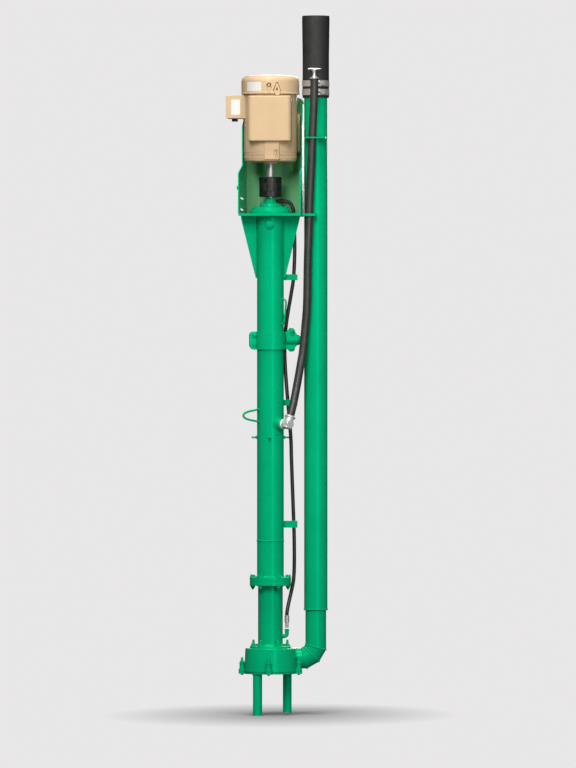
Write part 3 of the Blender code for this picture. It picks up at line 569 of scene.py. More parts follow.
def thread(size, length):
    """The end of a bolt: ridges that paint fills more and more towards the tip."""
    pitch = size * 0.16
    root = size * 0.45
    crest = size * 0.52
    corners = [(0, 0), (root, 0)]
    height = pitch / 2
    while height < length - pitch:
        narrower = 1 - 0.28 * height / length
        corners += [(crest * narrower, height), (root * narrower, height + pitch / 2)]
        height += pitch
    corners += [(root * 0.6, length), (0, length)]
    return turned("thread", corners, sides=16)


def bolt(size, stud=0.0, washer=True):
    """A hexagon on its washer, standing on the origin, with a thread through it where stud is given."""
    width, height, washer_radius = size * 1.6, size * 0.68, size * 1.1
    seat = size * 0.16 if washer else 0.0
    pieces = [lifted(hexagon(width, height), seat)]
    if washer:
        corners = [(0, 0), (washer_radius, 0), (washer_radius, seat, 0.0004), (0, seat)]
        pieces.append(turned("washer", corners, sides=SMALL))
    if stud:
        pieces.append(lifted(thread(size, stud), seat + size * 0.6))
    return joined("bolt", *pieces)


def copied(prototype):
    """A copy with its own mesh."""
    choose(prototype)
    bpy.ops.object.duplicate()
    return bpy.context.active_object


def stamped(name, prototype, seats):
    """Copies of a prototype made one piece; each seat is a place and the direction that it faces."""
    copies = [laid(copied(prototype), place, facing) for place, facing in seats]
    choose(prototype)
    bpy.ops.object.delete()
    return joined(name, *copies)


def ring_seats(radius, bearings, height, facing):
    """Seats on a level ring about the column's axis, all facing the same way."""
    return [((*at_bearing((0, 0), radius, bearing), height), facing) for bearing in bearings]


def outward_seats(radius, bearings, heights):
    """Seats on the side of an upright cylinder, facing away from its axis."""
    return [
        (outward_at(bearing) * radius + UP * height, outward_at(bearing))
        for bearing in bearings
        for height in heights
    ]


def finish_piece(piece, finish, *nodes, body="pump"):
    """Moves a piece to its place in the frame, shades and paints it, and ties it to its body."""
    piece.location = DATUM
    apply_place(piece)
    bpy.ops.object.shade_smooth_by_angle(angle=SMOOTH_ANGLE)
    weighted = piece.modifiers.new("even shading", "WEIGHTED_NORMAL")
    weighted.keep_sharp = True
    bpy.ops.object.modifier_apply(modifier=weighted.name)
    piece.data.materials.clear()
    piece.data.materials.append(finish_material(finish))
    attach(piece, body)
    if nodes:
        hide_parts(*nodes)
    return piece


# Finishes


def feed(tree, node, inputs):
    """Sets each input to a value, or links it to another node's output."""
    for name, value in inputs.items():
        if isinstance(value, bpy.types.NodeSocket):
            tree.links.new(value, node.inputs[name])
        else:
            node.inputs[name].default_value = value


def add_node(tree, kind, inputs):
    """A new shader node with its inputs fed."""
    node = tree.nodes.new("ShaderNode" + kind)
    feed(tree, node, inputs)
    return node


def new_finish(name, colour, roughness, metallic=0.0):
    """A material with its shader set, and its nodes and the object's coordinates to build on."""
    material = bpy.data.materials.new(name)
    material.use_nodes = True
    tree = material.node_tree
    shader = tree.nodes["Principled BSDF"]
    feed(tree, shader, {"Base Color": (*colour, 1), "Roughness": roughness, "Metallic": metallic})
    return material, tree, shader, tree.nodes.new("ShaderNodeTexCoord").outputs["Object"]


def stretched(tree, coordinates, scale):
    """The coordinates scaled along each axis."""
    return add_node(tree, "Mapping", {"Scale": scale, "Vector": coordinates}).outputs["Vector"]


def noise(tree, coordinates, scale, detail=2.0, roughness=0.5):
    inputs = {"Scale": scale, "Detail": detail, "Roughness": roughness, "Vector": coordinates}
    return add_node(tree, "TexNoise", inputs).outputs["Fac"]


def ranged(tree, value, low, high, start=0.3, end=0.7):
    """A value spread over a new range."""
    inputs = {"From Min": start, "From Max": end, "To Min": low, "To Max": high, "Value": value}
    return add_node(tree, "MapRange", inputs).outputs["Result"]


def tinted(tree, value, colour, low, high):
    """A colour that runs from one share of itself to another by a value."""
    ramp = add_node(tree, "ValToRGB", {"Fac": value})
    for element, position, share in zip(ramp.color_ramp.elements, (0.3, 0.7), (low, high)):
        element.position = position
        element.color = (*shade(colour, share), 1)
    return ramp.outputs["Color"]


def bumped(tree, *heights):
    """Bump maps laid over one another; each is a height, its strength and its distance."""
    normal = None
    for height, strength, distance in heights:
        inputs = {"Strength": strength, "Distance": distance, "Height": height}
        if normal is not None:
            inputs["Normal"] = normal
        normal = add_node(tree, "Bump", inputs).outputs["Normal"]
    return normal


def shade(colour, factor):
    return [min(1.0, part * factor) for part in colour]


def enamel(name, colour, roughness, peel):
    """Sprayed paint: slightly uneven in tone, with an orange-peel skin over a few soft sags."""
    material, tree, shader, where = new_finish(name, colour, roughness)
    tone = noise(tree, where, 5.0, 4.0, 0.6)
    dust = noise(tree, where, 60.0, 5.0, 0.65)
    skin, sag = noise(tree, where, 520.0, 1.0), noise(tree, where, 45.0, 1.0)
    feed(tree, shader, {
        "Specular Tint": (*(part / max(colour) for part in colour), 1),
        "Base Color": tinted(tree, tone, colour, 0.93, 1.06),
        "Roughness": ranged(tree, dust, roughness - 0.05, roughness + 0.07),
        "Normal": bumped(tree, (sag, 0.25, 0.0006), (skin, peel, 0.0002)),
    })
    return material


def dull_rubber(name, colour, roughness, cloth):
    """Rubber with a faint bloom, and the print of its wrapping cloth where cloth is more than nothing."""
    material, tree, shader, where = new_finish(name, colour, roughness)
    bloom, wear = noise(tree, where, 22.0, 6.0, 0.62), noise(tree, where, 70.0, 4.0)
    heights = [(noise(tree, where, 900.0), 0.35, 0.0002)]
    for direction in ("DIAGONAL", "Z") if cloth else ():
        inputs = {"Scale": 190.0, "Distortion": 1.0, "Detail": 1.0, "Vector": where}
        weave = add_node(tree, "TexWave", inputs)
        weave.bands_direction = direction
        heights.append((weave.outputs["Fac"], cloth, 0.0003))
    feed(tree, shader, {
        "Base Color": tinted(tree, bloom, colour, 0.75, 1.35),
        "Roughness": ranged(tree, wear, roughness - 0.08, roughness + 0.10),
        "Normal": bumped(tree, *heights),
    })
    return material


def bright_metal(name, colour, roughness, grain):
    """Turned or rolled steel: fine lines along the grain, with small changes in gloss."""
    material, tree, shader, where = new_finish(name, colour, roughness, metallic=0.65)
    lines = noise(tree, stretched(tree, where, grain), 1.0, 3.0)
    feed(tree, shader, {
        "Base Color": tinted(tree, noise(tree, where, 90.0, 3.0), colour, 0.88, 1.08),
        "Roughness": ranged(tree, lines, roughness - 0.08, roughness + 0.12),
        "Normal": bumped(tree, (lines, 0.25, 0.0001)),
    })
    return material


def galvanised(name, colour):
    """Hot-dip zinc on a casting: a mottled spangle over sand-cast lumps."""
    material, tree, shader, where = new_finish(name, colour, 0.40, metallic=0.45)
    spangle = add_node(tree, "TexVoronoi", {"Scale": 260.0, "Vector": where}).outputs["Distance"]
    feed(tree, shader, {
        "Base Color": tinted(tree, spangle, colour, 1.12, 0.80),
        "Roughness": ranged(tree, spangle, 0.30, 0.52, 0.0, 1.0),
        "Normal": bumped(tree, (noise(tree, where, 240.0, 3.0), 0.4, 0.0004)),
    })
    return material


def black_iron(name, colour):
    """Oiled black oxide on machined iron."""
    material, tree, shader, where = new_finish(name, colour, 0.36, metallic=0.55)
    lines = noise(tree, stretched(tree, where, (40.0, 40.0, 1400.0)), 1.0)
    patch = noise(tree, where, 70.0, 5.0)
    feed(tree, shader, {
        "Base Color": tinted(tree, patch, colour, 0.7, 1.7),
        "Roughness": ranged(tree, patch, 0.28, 0.50),
        "Normal": bumped(tree, (lines, 0.2, 0.0001)),
    })
    return material


def blank_label(name, colour):
    """Plain white printed film, a little yellowed and without any print."""
    material, tree, shader, where = new_finish(name, colour, 0.35)
    feed(tree, shader, {
        "Base Color": tinted(tree, noise(tree, where, 30.0, 5.0), colour, 0.97, 1.02),
        "Normal": bumped(tree, (noise(tree, where, 1200.0), 0.12, 0.0001)),
    })
    return material


# Each finish's material, slot, colour setting, share of that colour, maker and the maker's own values
FINISHES = {
    "green": ("green_enamel", "green_paint", "green", 1.0, enamel, (0.29, 0.18)),
    "dull": ("thin_green_coat", "green_paint", "dull", 1.0, enamel, (0.5, 0.15)),
    "beige": ("beige_enamel", "beige_paint", "beige", 1.0, enamel, (0.38, 0.22)),
    "wrapped_rubber": ("wrapped_rubber", "black_rubber", "rubber", 0.34, dull_rubber, (0.66, 0.3)),
    "hose_rubber": ("hose_rubber", "black_rubber", "rubber", 0.75, dull_rubber, (0.42, 0)),
    "thin_hose": ("thin_hose", "black_rubber", "rubber", 0.30, dull_rubber, (0.40, 0)),
    "iron": ("blackened_iron", "black_iron", "iron", 1.0, black_iron, ()),
    "turned_steel": ("turned_steel", "bright_steel", "steel", 1.0, bright_metal, (0.34, (30, 30, 1500))),
    "zinc": ("galvanised_iron", "galvanised", "zinc", 1.0, galvanised, ()),
    "label": ("blank_label", "beige_paint", "label", 1.0, blank_label, ()),
}


def finish_material(finish):
    """A finish's material, made the first time that it is asked for."""
    name, _, setting, share, make, values = FINISHES[finish]
    material = bpy.data.materials.get(name)
    if material is None:
        base = getattr(bpy.context.scene.pump_colours, setting)
        material = make(name, shade(base, share), *values)
    return material


# Pieces


class PUMP_OT_legs(bpy.types.Operator):
    """Three short pipe legs under the volute"""

    bl_idname = "pump.legs"
    bl_label = "Legs"

    def execute(self, context):
        hollow = 0.040
        for node in LEGS:
            low, high = span(node)
            radius = (high.x - low.x) / 2
            bore = radius - 0.0036
            corners = [(0, high.z), (radius, high.z), (radius, low.z, 0.0012), (bore, low.z, 0.0010)]
            corners += [(bore, low.z + hollow), (0, low.z + hollow)]
            finish_piece(turned(node + "_pipe", corners, middle(node), MEDIUM), "green", node)
        return {"FINISHED"}


def lugged_outline(radius):
    """A disc's edge with its four bolt lugs: right, back, left and front."""
    half_angle = math.degrees(math.asin(LUG_RADIUS / radius))
    outline = []
    for bearing in range(0, 360, 90):
        centre = at_bearing((0, 0), LUG_CIRCLE, bearing)
        outline += arc(centre, LUG_RADIUS, bearing - 90, bearing + 90, 12)
        outline += arc((0, 0), radius, bearing + half_angle, bearing + 90 - half_angle, 14)
    return outline


class PUMP_OT_volute(bpy.types.Operator):
    """The volute's bottom plate, drum with its outlet, and cover"""

    bl_idname = "pump.volute"
    bl_label = "Volute"

    def execute(self, context):
        low, high = span("bottom_plate")
        eye = circle((0, 0), SUCTION_RADIUS, MEDIUM)
        bottom = plate("suction_plate", lugged_outline(BOTTOM_RADIUS), low.z, high.z, [eye], edge=0.0018)
        finish_piece(bottom, "green", "bottom_plate")
        self.casing()
        self.cover()
        return {"FINISHED"}

    def casing(self):
        low, high = span("volute_casing")
        nozzle_end = span("elbow_outlet")[0].x - GAP
        roof = high.z - CASING_ROOF
        corners = [(0, high.z), (CASING_RADIUS_HIGH, high.z, 0.0045)]
        corners += [(CASING_RADIUS_LOW, low.z, 0.001), (0, low.z)]
        drum = turned("volute_drum", corners, sides=FINE)
        depth = PIPE_SPOT[1]
        start, end = (0.020, depth, ELBOW_HEIGHT), (nozzle_end, depth, ELBOW_HEIGHT)
        carve(drum, rod("nozzle", start, end, ELBOW_RADIUS), "UNION")
        carve(drum, core(CASING_BORE, low.z - PAST, roof))
        height = ELBOW_HEIGHT - 0.010
        carve(drum, rod("outlet", (0.060, depth, height), (nozzle_end + PAST, depth, height), 0.036))
        carve(drum, core(0.031, roof - PAST, high.z + PAST))
        finish_piece(drum, "green", "volute_casing")
        outline = lugged_outline(CASING_RADIUS_LOW - 0.003)
        bore = circle((0, 0), CASING_BORE + 0.008, ROUND)
        lugs = plate("volute_lugs", outline, low.z + 0.0002, low.z + LUG_HEIGHT, [bore], edge=0.0015)
        finish_piece(lugs, "green")

    def cover(self):
        low, high = span("volute_cover")
        flange = low.z + COVER_FLANGE
        corners = [(SHAFT_BORE, high.z), (0.068, high.z, 0.003), (0.074, flange, 0.004)]
        corners += [(0.100, flange, 0.003), (0.100, low.z, 0.0006), (SHAFT_BORE, low.z)]
        finish_piece(turned("cover_plate", corners, closed=True), "green", "volute_cover")


class PUMP_OT_column(bpy.types.Operator):
    """The lower and upper column tubes with their flanges and bosses"""

    bl_idname = "pump.column"
    bl_label = "Column"

    def execute(self, context):
        low, high = span("lower_column")
        bore = LOWER_COLUMN_RADIUS - COLUMN_WALL
        corners = [(bore, high.z), (FLANGE_RADIUS, high.z, 0.0012), (FLANGE_RADIUS, FLANGE_LOW, 0.0015)]
        corners += [(LOWER_COLUMN_RADIUS, FLANGE_LOW, 0.0030), (LOWER_COLUMN_RADIUS, low.z), (bore, low.z)]
        finish_piece(turned("column_foot", corners, closed=True), "green", "lower_column")
        low, high = span("upper_column")
        bore = COLUMN_RADIUS - COLUMN_WALL
        corners = [(bore, high.z), (COLUMN_RADIUS, high.z), (COLUMN_RADIUS, FLANGE_HIGH, 0.0030)]
        corners += [(FLANGE_RADIUS, FLANGE_HIGH, 0.0015), (FLANGE_RADIUS, low.z, 0.0012), (bore, low.z)]
        tube = turned("column_tube", corners, closed=True)
        finish_piece(carve(tube, self.dimple()), "green", "upper_column")
        self.bosses()
        return {"FINISHED"}

    def dimple(self):
        """The cutter of the small oval hollow in the column's front."""
        facing = outward_at(-54)
        half, radius = 0.006, 0.0045
        outline = arc((-half, 0), radius, 90, 270, 8) + arc((half, 0), radius, -90, 90, 8)
        cutter = plate("dimple", outline, -0.004, PAST)
        turn = Matrix((UP.cross(facing), UP, facing)).transposed().to_4x4()
        cutter.matrix_world = Matrix.Translation(facing * COLUMN_RADIUS + UP * 1.3696) @ turn
        return apply_place(cutter)

    def bosses(self):
        outward, height = filler_heading(), UP * FILLER_BOSS_HEIGHT
        root = 0.058
        start, end = height + outward * root, height + outward * FILLER_BOSS_REACH
        filler = rod("filler_boss", start, end, FILLER_BOSS_RADIUS, edge=0.002)
        start, end = (0, -root, LEVEL_PLUG_HEIGHT), (0, -0.074, LEVEL_PLUG_HEIGHT)
        level = rod("level_boss", start, end, 0.020, edge=0.0018)
        finish_piece(joined("column_bosses", filler, level), "green")
        plug = laid(hexagon(0.024, 0.009), (0, -0.0738, LEVEL_PLUG_HEIGHT), FORWARD)
        finish_piece(joined("level_plug", plug), "green")


def filler_corner():
    """Where the filler elbow turns from the column's boss up into its hose."""
    lowest = Vector(FILLER_ROUTE[0])
    upward = (Vector(FILLER_ROUTE[1]) - lowest).normalized()
    return lowest - upward * ((lowest.z - FILLER_BOSS_HEIGHT) / upward.z)


def filler_heading():
    """The level direction of the filler's boss, from the column's axis."""
    corner = filler_corner()
    return Vector((corner.x, corner.y, 0)).normalized()


def mitre_corners():
    """The corners of the discharge elbow's centre line, and the direction that each is cut across."""
    centre = Vector((PIPE_SPOT[0] - BEND_RADIUS, PIPE_SPOT[1], ELBOW_HEIGHT + BEND_RADIUS))
    reach = BEND_RADIUS / math.cos(math.radians(15))
    corners = [(Vector((span("elbow_outlet")[0].x, PIPE_SPOT[1], ELBOW_HEIGHT)), Vector((1, 0, 0)))]
    for mitre in (15, 45, 75):
        angle = math.radians(mitre)
        place = centre + Vector((reach * math.sin(angle), 0, -reach * math.cos(angle)))
        corners.append((place, Vector((math.cos(angle), 0, math.sin(angle)))))
    corners.append((Vector((PIPE_SPOT[0], PIPE_SPOT[1], span("elbow_riser")[1].z)), UP))
    return corners


def mitre_ring(index, radius):
    """The round seam at one corner of the discharge elbow."""
    place, cut = mitre_corners()[index]
    before = mitre_corners()[index - 1][0]
    along = (place - before).normalized()
    across = Vector((0, 1, 0))
    upright = along.cross(across)
    ring = []
    for x, y in circle((0, 0), radius, MEDIUM):
        spot = place + across * x + upright * y
        ring.append(spot + along * ((place - spot).dot(cut) / along.dot(cut)))
    return ring


class PUMP_OT_discharge(bpy.types.Operator):
    """The mitred elbow, the discharge pipe and the rubber hose on top of it"""

    bl_idname = "pump.discharge"
    bl_label = "Discharge line"

    def execute(self, context):
        corners = mitre_corners()
        inner = ELBOW_RADIUS - ELBOW_WALL
        nodes = ("elbow_outlet", "elbow_lower", "elbow_upper", "elbow_riser")
        for node, (start, start_cut), (end, end_cut) in zip(nodes, corners, corners[1:]):
            length = (end - start).length
            profile = [(inner, length), (ELBOW_RADIUS, length), (ELBOW_RADIUS, 0), (inner, 0)]
            tube = laid(turned(node + "_tube", profile, closed=True), start, end - start)
            along = (end - start).normalized()
            for vertex in tube.data.vertices:
                nearer_start = (vertex.co - start).dot(along) < length / 2
                place, cut = (start, start_cut) if nearer_start else (end, end_cut)
                vertex.co += along * ((place - vertex.co).dot(cut) / along.dot(cut))
            finish_piece(tube, "green", node)
        low, high = span("discharge_pipe")
        profile = [(PIPE_BORE, high.z), (PIPE_RADIUS, high.z, 0.001)]
        profile += [(PIPE_RADIUS, low.z, 0.0015), (PIPE_BORE, low.z)]
        finish_piece(turned("riser_pipe", profile, PIPE_SPOT, closed=True), "green", "discharge_pipe")
        self.hose()
        self.bands()
        return {"FINISHED"}

    def hose(self):
        low, high = span("discharge_hose")
        bore, body, flare = 0.0576, 0.065, (high.x - low.x) / 2
        profile = [(flare - 0.0006, high.z, 0.003), (flare, high.z - 0.030)]
        profile += [(flare - 0.0010, high.z - 0.090), (body, high.z - 0.200)]
        swells = [(0, 0.110), (2, 0.088), (-1, 0.083), (-1, 0.057), (3, 0.050), (-1, 0.041), (-1, 0.014)]
        profile += [(body + swell * 0.0001, low.z + rise) for swell, rise in swells]
        profile += [(body, low.z, 0.002), (bore, low.z), (bore, high.z, 0.002)]
        hose = turned("delivery_hose", profile, PIPE_SPOT, closed=True)
        finish_piece(hose, "wrapped_rubber", "discharge_hose")

    def bands(self):
        inner, outer, lip = 0.0655, 0.0671, 0.0675
        for node in ("band_clamp_lower", "band_clamp_upper"):
            low, high = span(node)
            profile = [(inner, high.z), (lip, high.z, 0.0003), (lip, high.z - 0.0035)]
            profile += [(outer, high.z - 0.0042), (outer, low.z + 0.0042)]
            profile += [(lip, low.z + 0.0035), (lip, low.z, 0.0003), (inner, low.z)]
            band = turned(node + "_band", profile, PIPE_SPOT, closed=True)
            finish_piece(joined(node + "_band", band, self.worm(low.z, high.z)), "turned_steel", node)

    def worm(self, low, high):
        """A band's housing and the screw that draws the band through it."""
        half = (high - low) / 2 - 0.004
        depth = -0.0065
        housing = block("housing", (-0.010, -0.0115, -half), (0.011, 0.001, half), 0.003, 0.0009, "XZ")
        screw = rod("screw", (-0.017, depth, 0), (0.0125, depth, 0), 0.0046, sides=SMALL)
        slotted = rod("slotted", (-0.023, depth, 0), (-0.0165, depth, 0), 0.0062, sides=SMALL)
        worm = joined("worm", housing, screw, slotted)
        worm.rotation_euler.z = math.radians(30)
        worm.location = (*at_bearing(PIPE_SPOT, 0.0670, -60), (low + high) / 2)
        return apply_place(worm)


class PUMP_OT_plates(bpy.types.Operator):
    """The base plate, gussets, hose guide, hose clips and bearing housing"""

    bl_idname = "pump.plates"
    bl_label = "Plates"

    def execute(self, context):
        saddle = PIPE_RADIUS + 0.0005
        ear, back_left = -0.047, -0.130
        low, high = span("base_plate")
        outline = [(low.x, low.y, 0.003), (PLATE_RIGHT, low.y, 0.003), (PLATE_RIGHT, ear)]
        outline += [(0.220, ear, 0.006), (0.227, -0.040), *arc(PIPE_SPOT, saddle, -82.0, -151.3, 16)]
        outline += [(PLATE_RIGHT, 0.040), (PLATE_RIGHT, high.y), (back_left, high.y)]
        holes = [
            circle((0, 0), SHAFT_RADIUS + 0.012, MEDIUM),
            circle(EAR_HOLE, FILLER_HOSE_RADIUS + 0.0018),
            circle(GREASE_HOLE, GREASE_HOSE_RADIUS + 0.0014),
        ]
        finish_piece(plate("top_plate", outline, low.z, high.z, holes), "green", "base_plate")
        low, high = span("hose_guide")
        edge_angle = math.degrees(math.asin((high.y - PIPE_SPOT[1]) / saddle))
        outline = [(low.x, low.y, 0.004), (0.266, low.y, 0.003), (high.x, -0.040, 0.003), (high.x, high.y)]
        outline += [*arc(PIPE_SPOT, saddle, edge_angle, -180 - edge_angle, 16), (low.x, high.y)]
        hole = circle(GUIDE_HOLE, FILLER_HOSE_RADIUS + 0.0014)
        finish_piece(plate("guide_saddle", outline, low.z, high.z, [hole]), "green", "hose_guide")
        self.gussets()
        self.clips()
        self.housing()
        return {"FINISHED"}

    def gussets(self):
        inner, outer, half = COLUMN_RADIUS + 0.0004, 0.144, 0.005
        for node, side in {"gusset_left": -1, "gusset_right": 1}.items():
            low, high = span(node)
            outline = [(inner, high.z), (outer, high.z), (outer, high.z - 0.012, 0.003)]
            outline += [(inner + 0.006, low.z, 0.003), (inner, low.z)]
            outline = [(side * x, *rest_of) for x, *rest_of in outline]
            finish_piece(plate(node + "_web", outline, -half, half, plane="XZ"), "green", node)

    def clips(self):
        front = GREASE_HOLE[1] - GREASE_HOSE_RADIUS - 0.0055
        thick = 0.004
        reach, hook = 0.130, front + 0.026
        root = math.sqrt(COLUMN_RADIUS**2 - front**2) + 0.0005
        outline = [(root, front), (reach, front, 0.006), (reach, hook), (reach - thick, hook)]
        outline += [(reach - thick, front + thick, 0.0025), (root, front + thick)]
        for node in ("hose_clip_top", "hose_clip_middle", "hose_clip_bottom"):
            low, high = span(node)
            finish_piece(plate(node + "_strap", outline, low.z, high.z, edge=0.0007), "green", node)

    def housing(self):
        low, high = span("bearing_housing")
        neck, foot = 0.028, 0.102
        rises = [(neck, 0.052, 0.002), (0.049, 0.050, 0.003), (0.054, 0.034, 0.002), (0.090, 0.030, 0.004)]
        rises += [(0.096, 0.014, 0.002), (foot, 0.013, 0.002), (foot, 0, 0.0008)]
        corners = [(SHAFT_BORE, high.z), (neck, high.z, 0.0015)]
        corners += [(radius, low.z + rise, edge) for radius, rise, edge in rises]
        corners.append((SHAFT_BORE, low.z))
        finish_piece(turned("bearing_cap", corners, closed=True), "green", "bearing_housing")


class PUMP_OT_collar(bpy.types.Operator):
    """The two-piece collar, its brace and the two loops of bar"""

    bl_idname = "pump.collar"
    bl_label = "Collar and loops"

    def execute(self, context):
        for node, side in {"collar_front": -1, "collar_back": 1}.items():
            band = self.strap(side)
            clamp = joined(node + "_clamp", *self.grip(side), band)
            clamp.rotation_euler.z = BRACE_BEARING
            finish_piece(apply_place(clamp), "green", node)
        outward = outward_at(math.degrees(BRACE_BEARING))
        start = UP * BRACE_HEIGHT + outward * (COLLAR_OUTER + 0.002)
        brace = rod("brace_tube", start, UP * BRACE_HEIGHT + outward * 0.176, BRACE_RADIUS)
        finish_piece(brace, "green", "brace_pipe")
        self.loops()
        return {"FINISHED"}

    def strap(self, side):
        """Half of the band round the column, with its rounded ear."""
        meet = math.degrees(math.asin((COLLAR_EAR + COLLAR_SPLIT) / COLLAR_OUTER))
        start = math.degrees(math.asin(COLLAR_SPLIT / COLLAR_INNER))
        tip, past, low, high = -0.105, 0.110, COLLAR_LOW, COLLAR_HIGH
        outline = arc((0, 0), COLLAR_OUTER, start, 180 - meet, 24)
        outline += [(tip, COLLAR_SPLIT + COLLAR_EAR), (tip, COLLAR_SPLIT)]
        outline += arc((0, 0), COLLAR_INNER, 180 - start, start, 24)
        band = plate("strap", [(x, side * y) for x, y in outline], low, high, edge=0.0005)
        ends = [(tip, low, 0.026), (past, low), (past, high), (tip, high, 0.018)]
        carve(band, plate("ends", ends, -0.12, 0.12, plane="XZ", edge=0.0002), "INTERSECT")
        return soften(band, 0.0012)

    def grip(self, side):
        """The plate with the grip's two bolts, and its half of the sleeve round the brace."""
        near = COLLAR_SPLIT + 0.0003
        bolt_edge = 0.0158
        outline = [(COLLAR_OUTER - 0.004, COLLAR_HIGH - 0.006), (COLLAR_OUTER - 0.004, COLLAR_LOW + 0.006)]
        outline += arc((GRIP_REACH, BRACE_HEIGHT - GRIP_RISE), bolt_edge, 200, 370, 14)
        outline += arc((GRIP_REACH + 0.008, BRACE_HEIGHT), 0.0315, -40, 40, 10)
        outline += arc((GRIP_REACH, BRACE_HEIGHT + GRIP_RISE), bolt_edge, -10, 160, 14)
        depths = sorted((side * near, side * (COLLAR_SPLIT + COLLAR_EAR)))
        grip = plate("grip", outline, *depths, plane="XZ", edge=0.0014)
        radius, length = 0.0262, 0.070
        profile = [(0, 0), (radius, 0, 0.002), (radius, length, 0.004), (0, length)]
        sleeve = laid(turned("sleeve", profile, sides=MEDIUM), (0.0750, 0, BRACE_HEIGHT), (1, 0, 0))
        wide, deep, tall = 0.3, side * 0.1, 0.2
        start, end = (-wide, min(0, deep), BRACE_HEIGHT - tall), (wide, max(0, deep), BRACE_HEIGHT + tall)
        half = block("half", start, end, 0.001, 0.0005)
        half.location.y = side * near
        carve(sleeve, apply_place(half), "INTERSECT")
        start, end = (COLLAR_INNER + 0.008, 0, BRACE_HEIGHT), (0.2, 0, BRACE_HEIGHT)
        for part in (grip, sleeve):
            carve(part, rod("seat", start, end, BRACE_RADIUS + 0.0004))
        return grip, sleeve

    def loops(self):
        root = COLUMN_RADIUS - 0.002
        upper = [(0, 1.05), (0.22, 0.93), (0.45, 0.80), (0.70, 0.64), (0.88, 0.44), (0.97, 0.21)]
        shares = upper + [(1.0, 0.0)] + [(share, -rise) for share, rise in reversed(upper)]
        shape = [(root + (0.156 - root) * share, 1.468 + 0.0295 * rise) for share, rise in shares]
        self.bar("cable_eye", "cable_loop", Vector((-0.81, -0.586, 0)).normalized(), shape, 0.0054)
        steps = [(0, 0), (0.010, -0.001), (0.017, -0.005), (0.020, -0.014), (0.019, -0.040)]
        steps += [(0.013, -0.090), (0.0095, -0.112), (0.0065, -0.1195), (0, -0.120)]
        shape = [(COLUMN_RADIUS + reach, 2.037 + drop) for reach, drop in steps]
        self.bar("side_handle", "side_loop", outward_at(-24), shape, 0.005)

    def bar(self, name, node, outward, shape, radius):
        """A round bar bent in an upright plane, through points of reach and height."""
        route = [outward * reach + UP * height for reach, height in shape]
        finish_piece(swept(name, smooth_route(route, 0.004), radius, sides=16), "green", node)


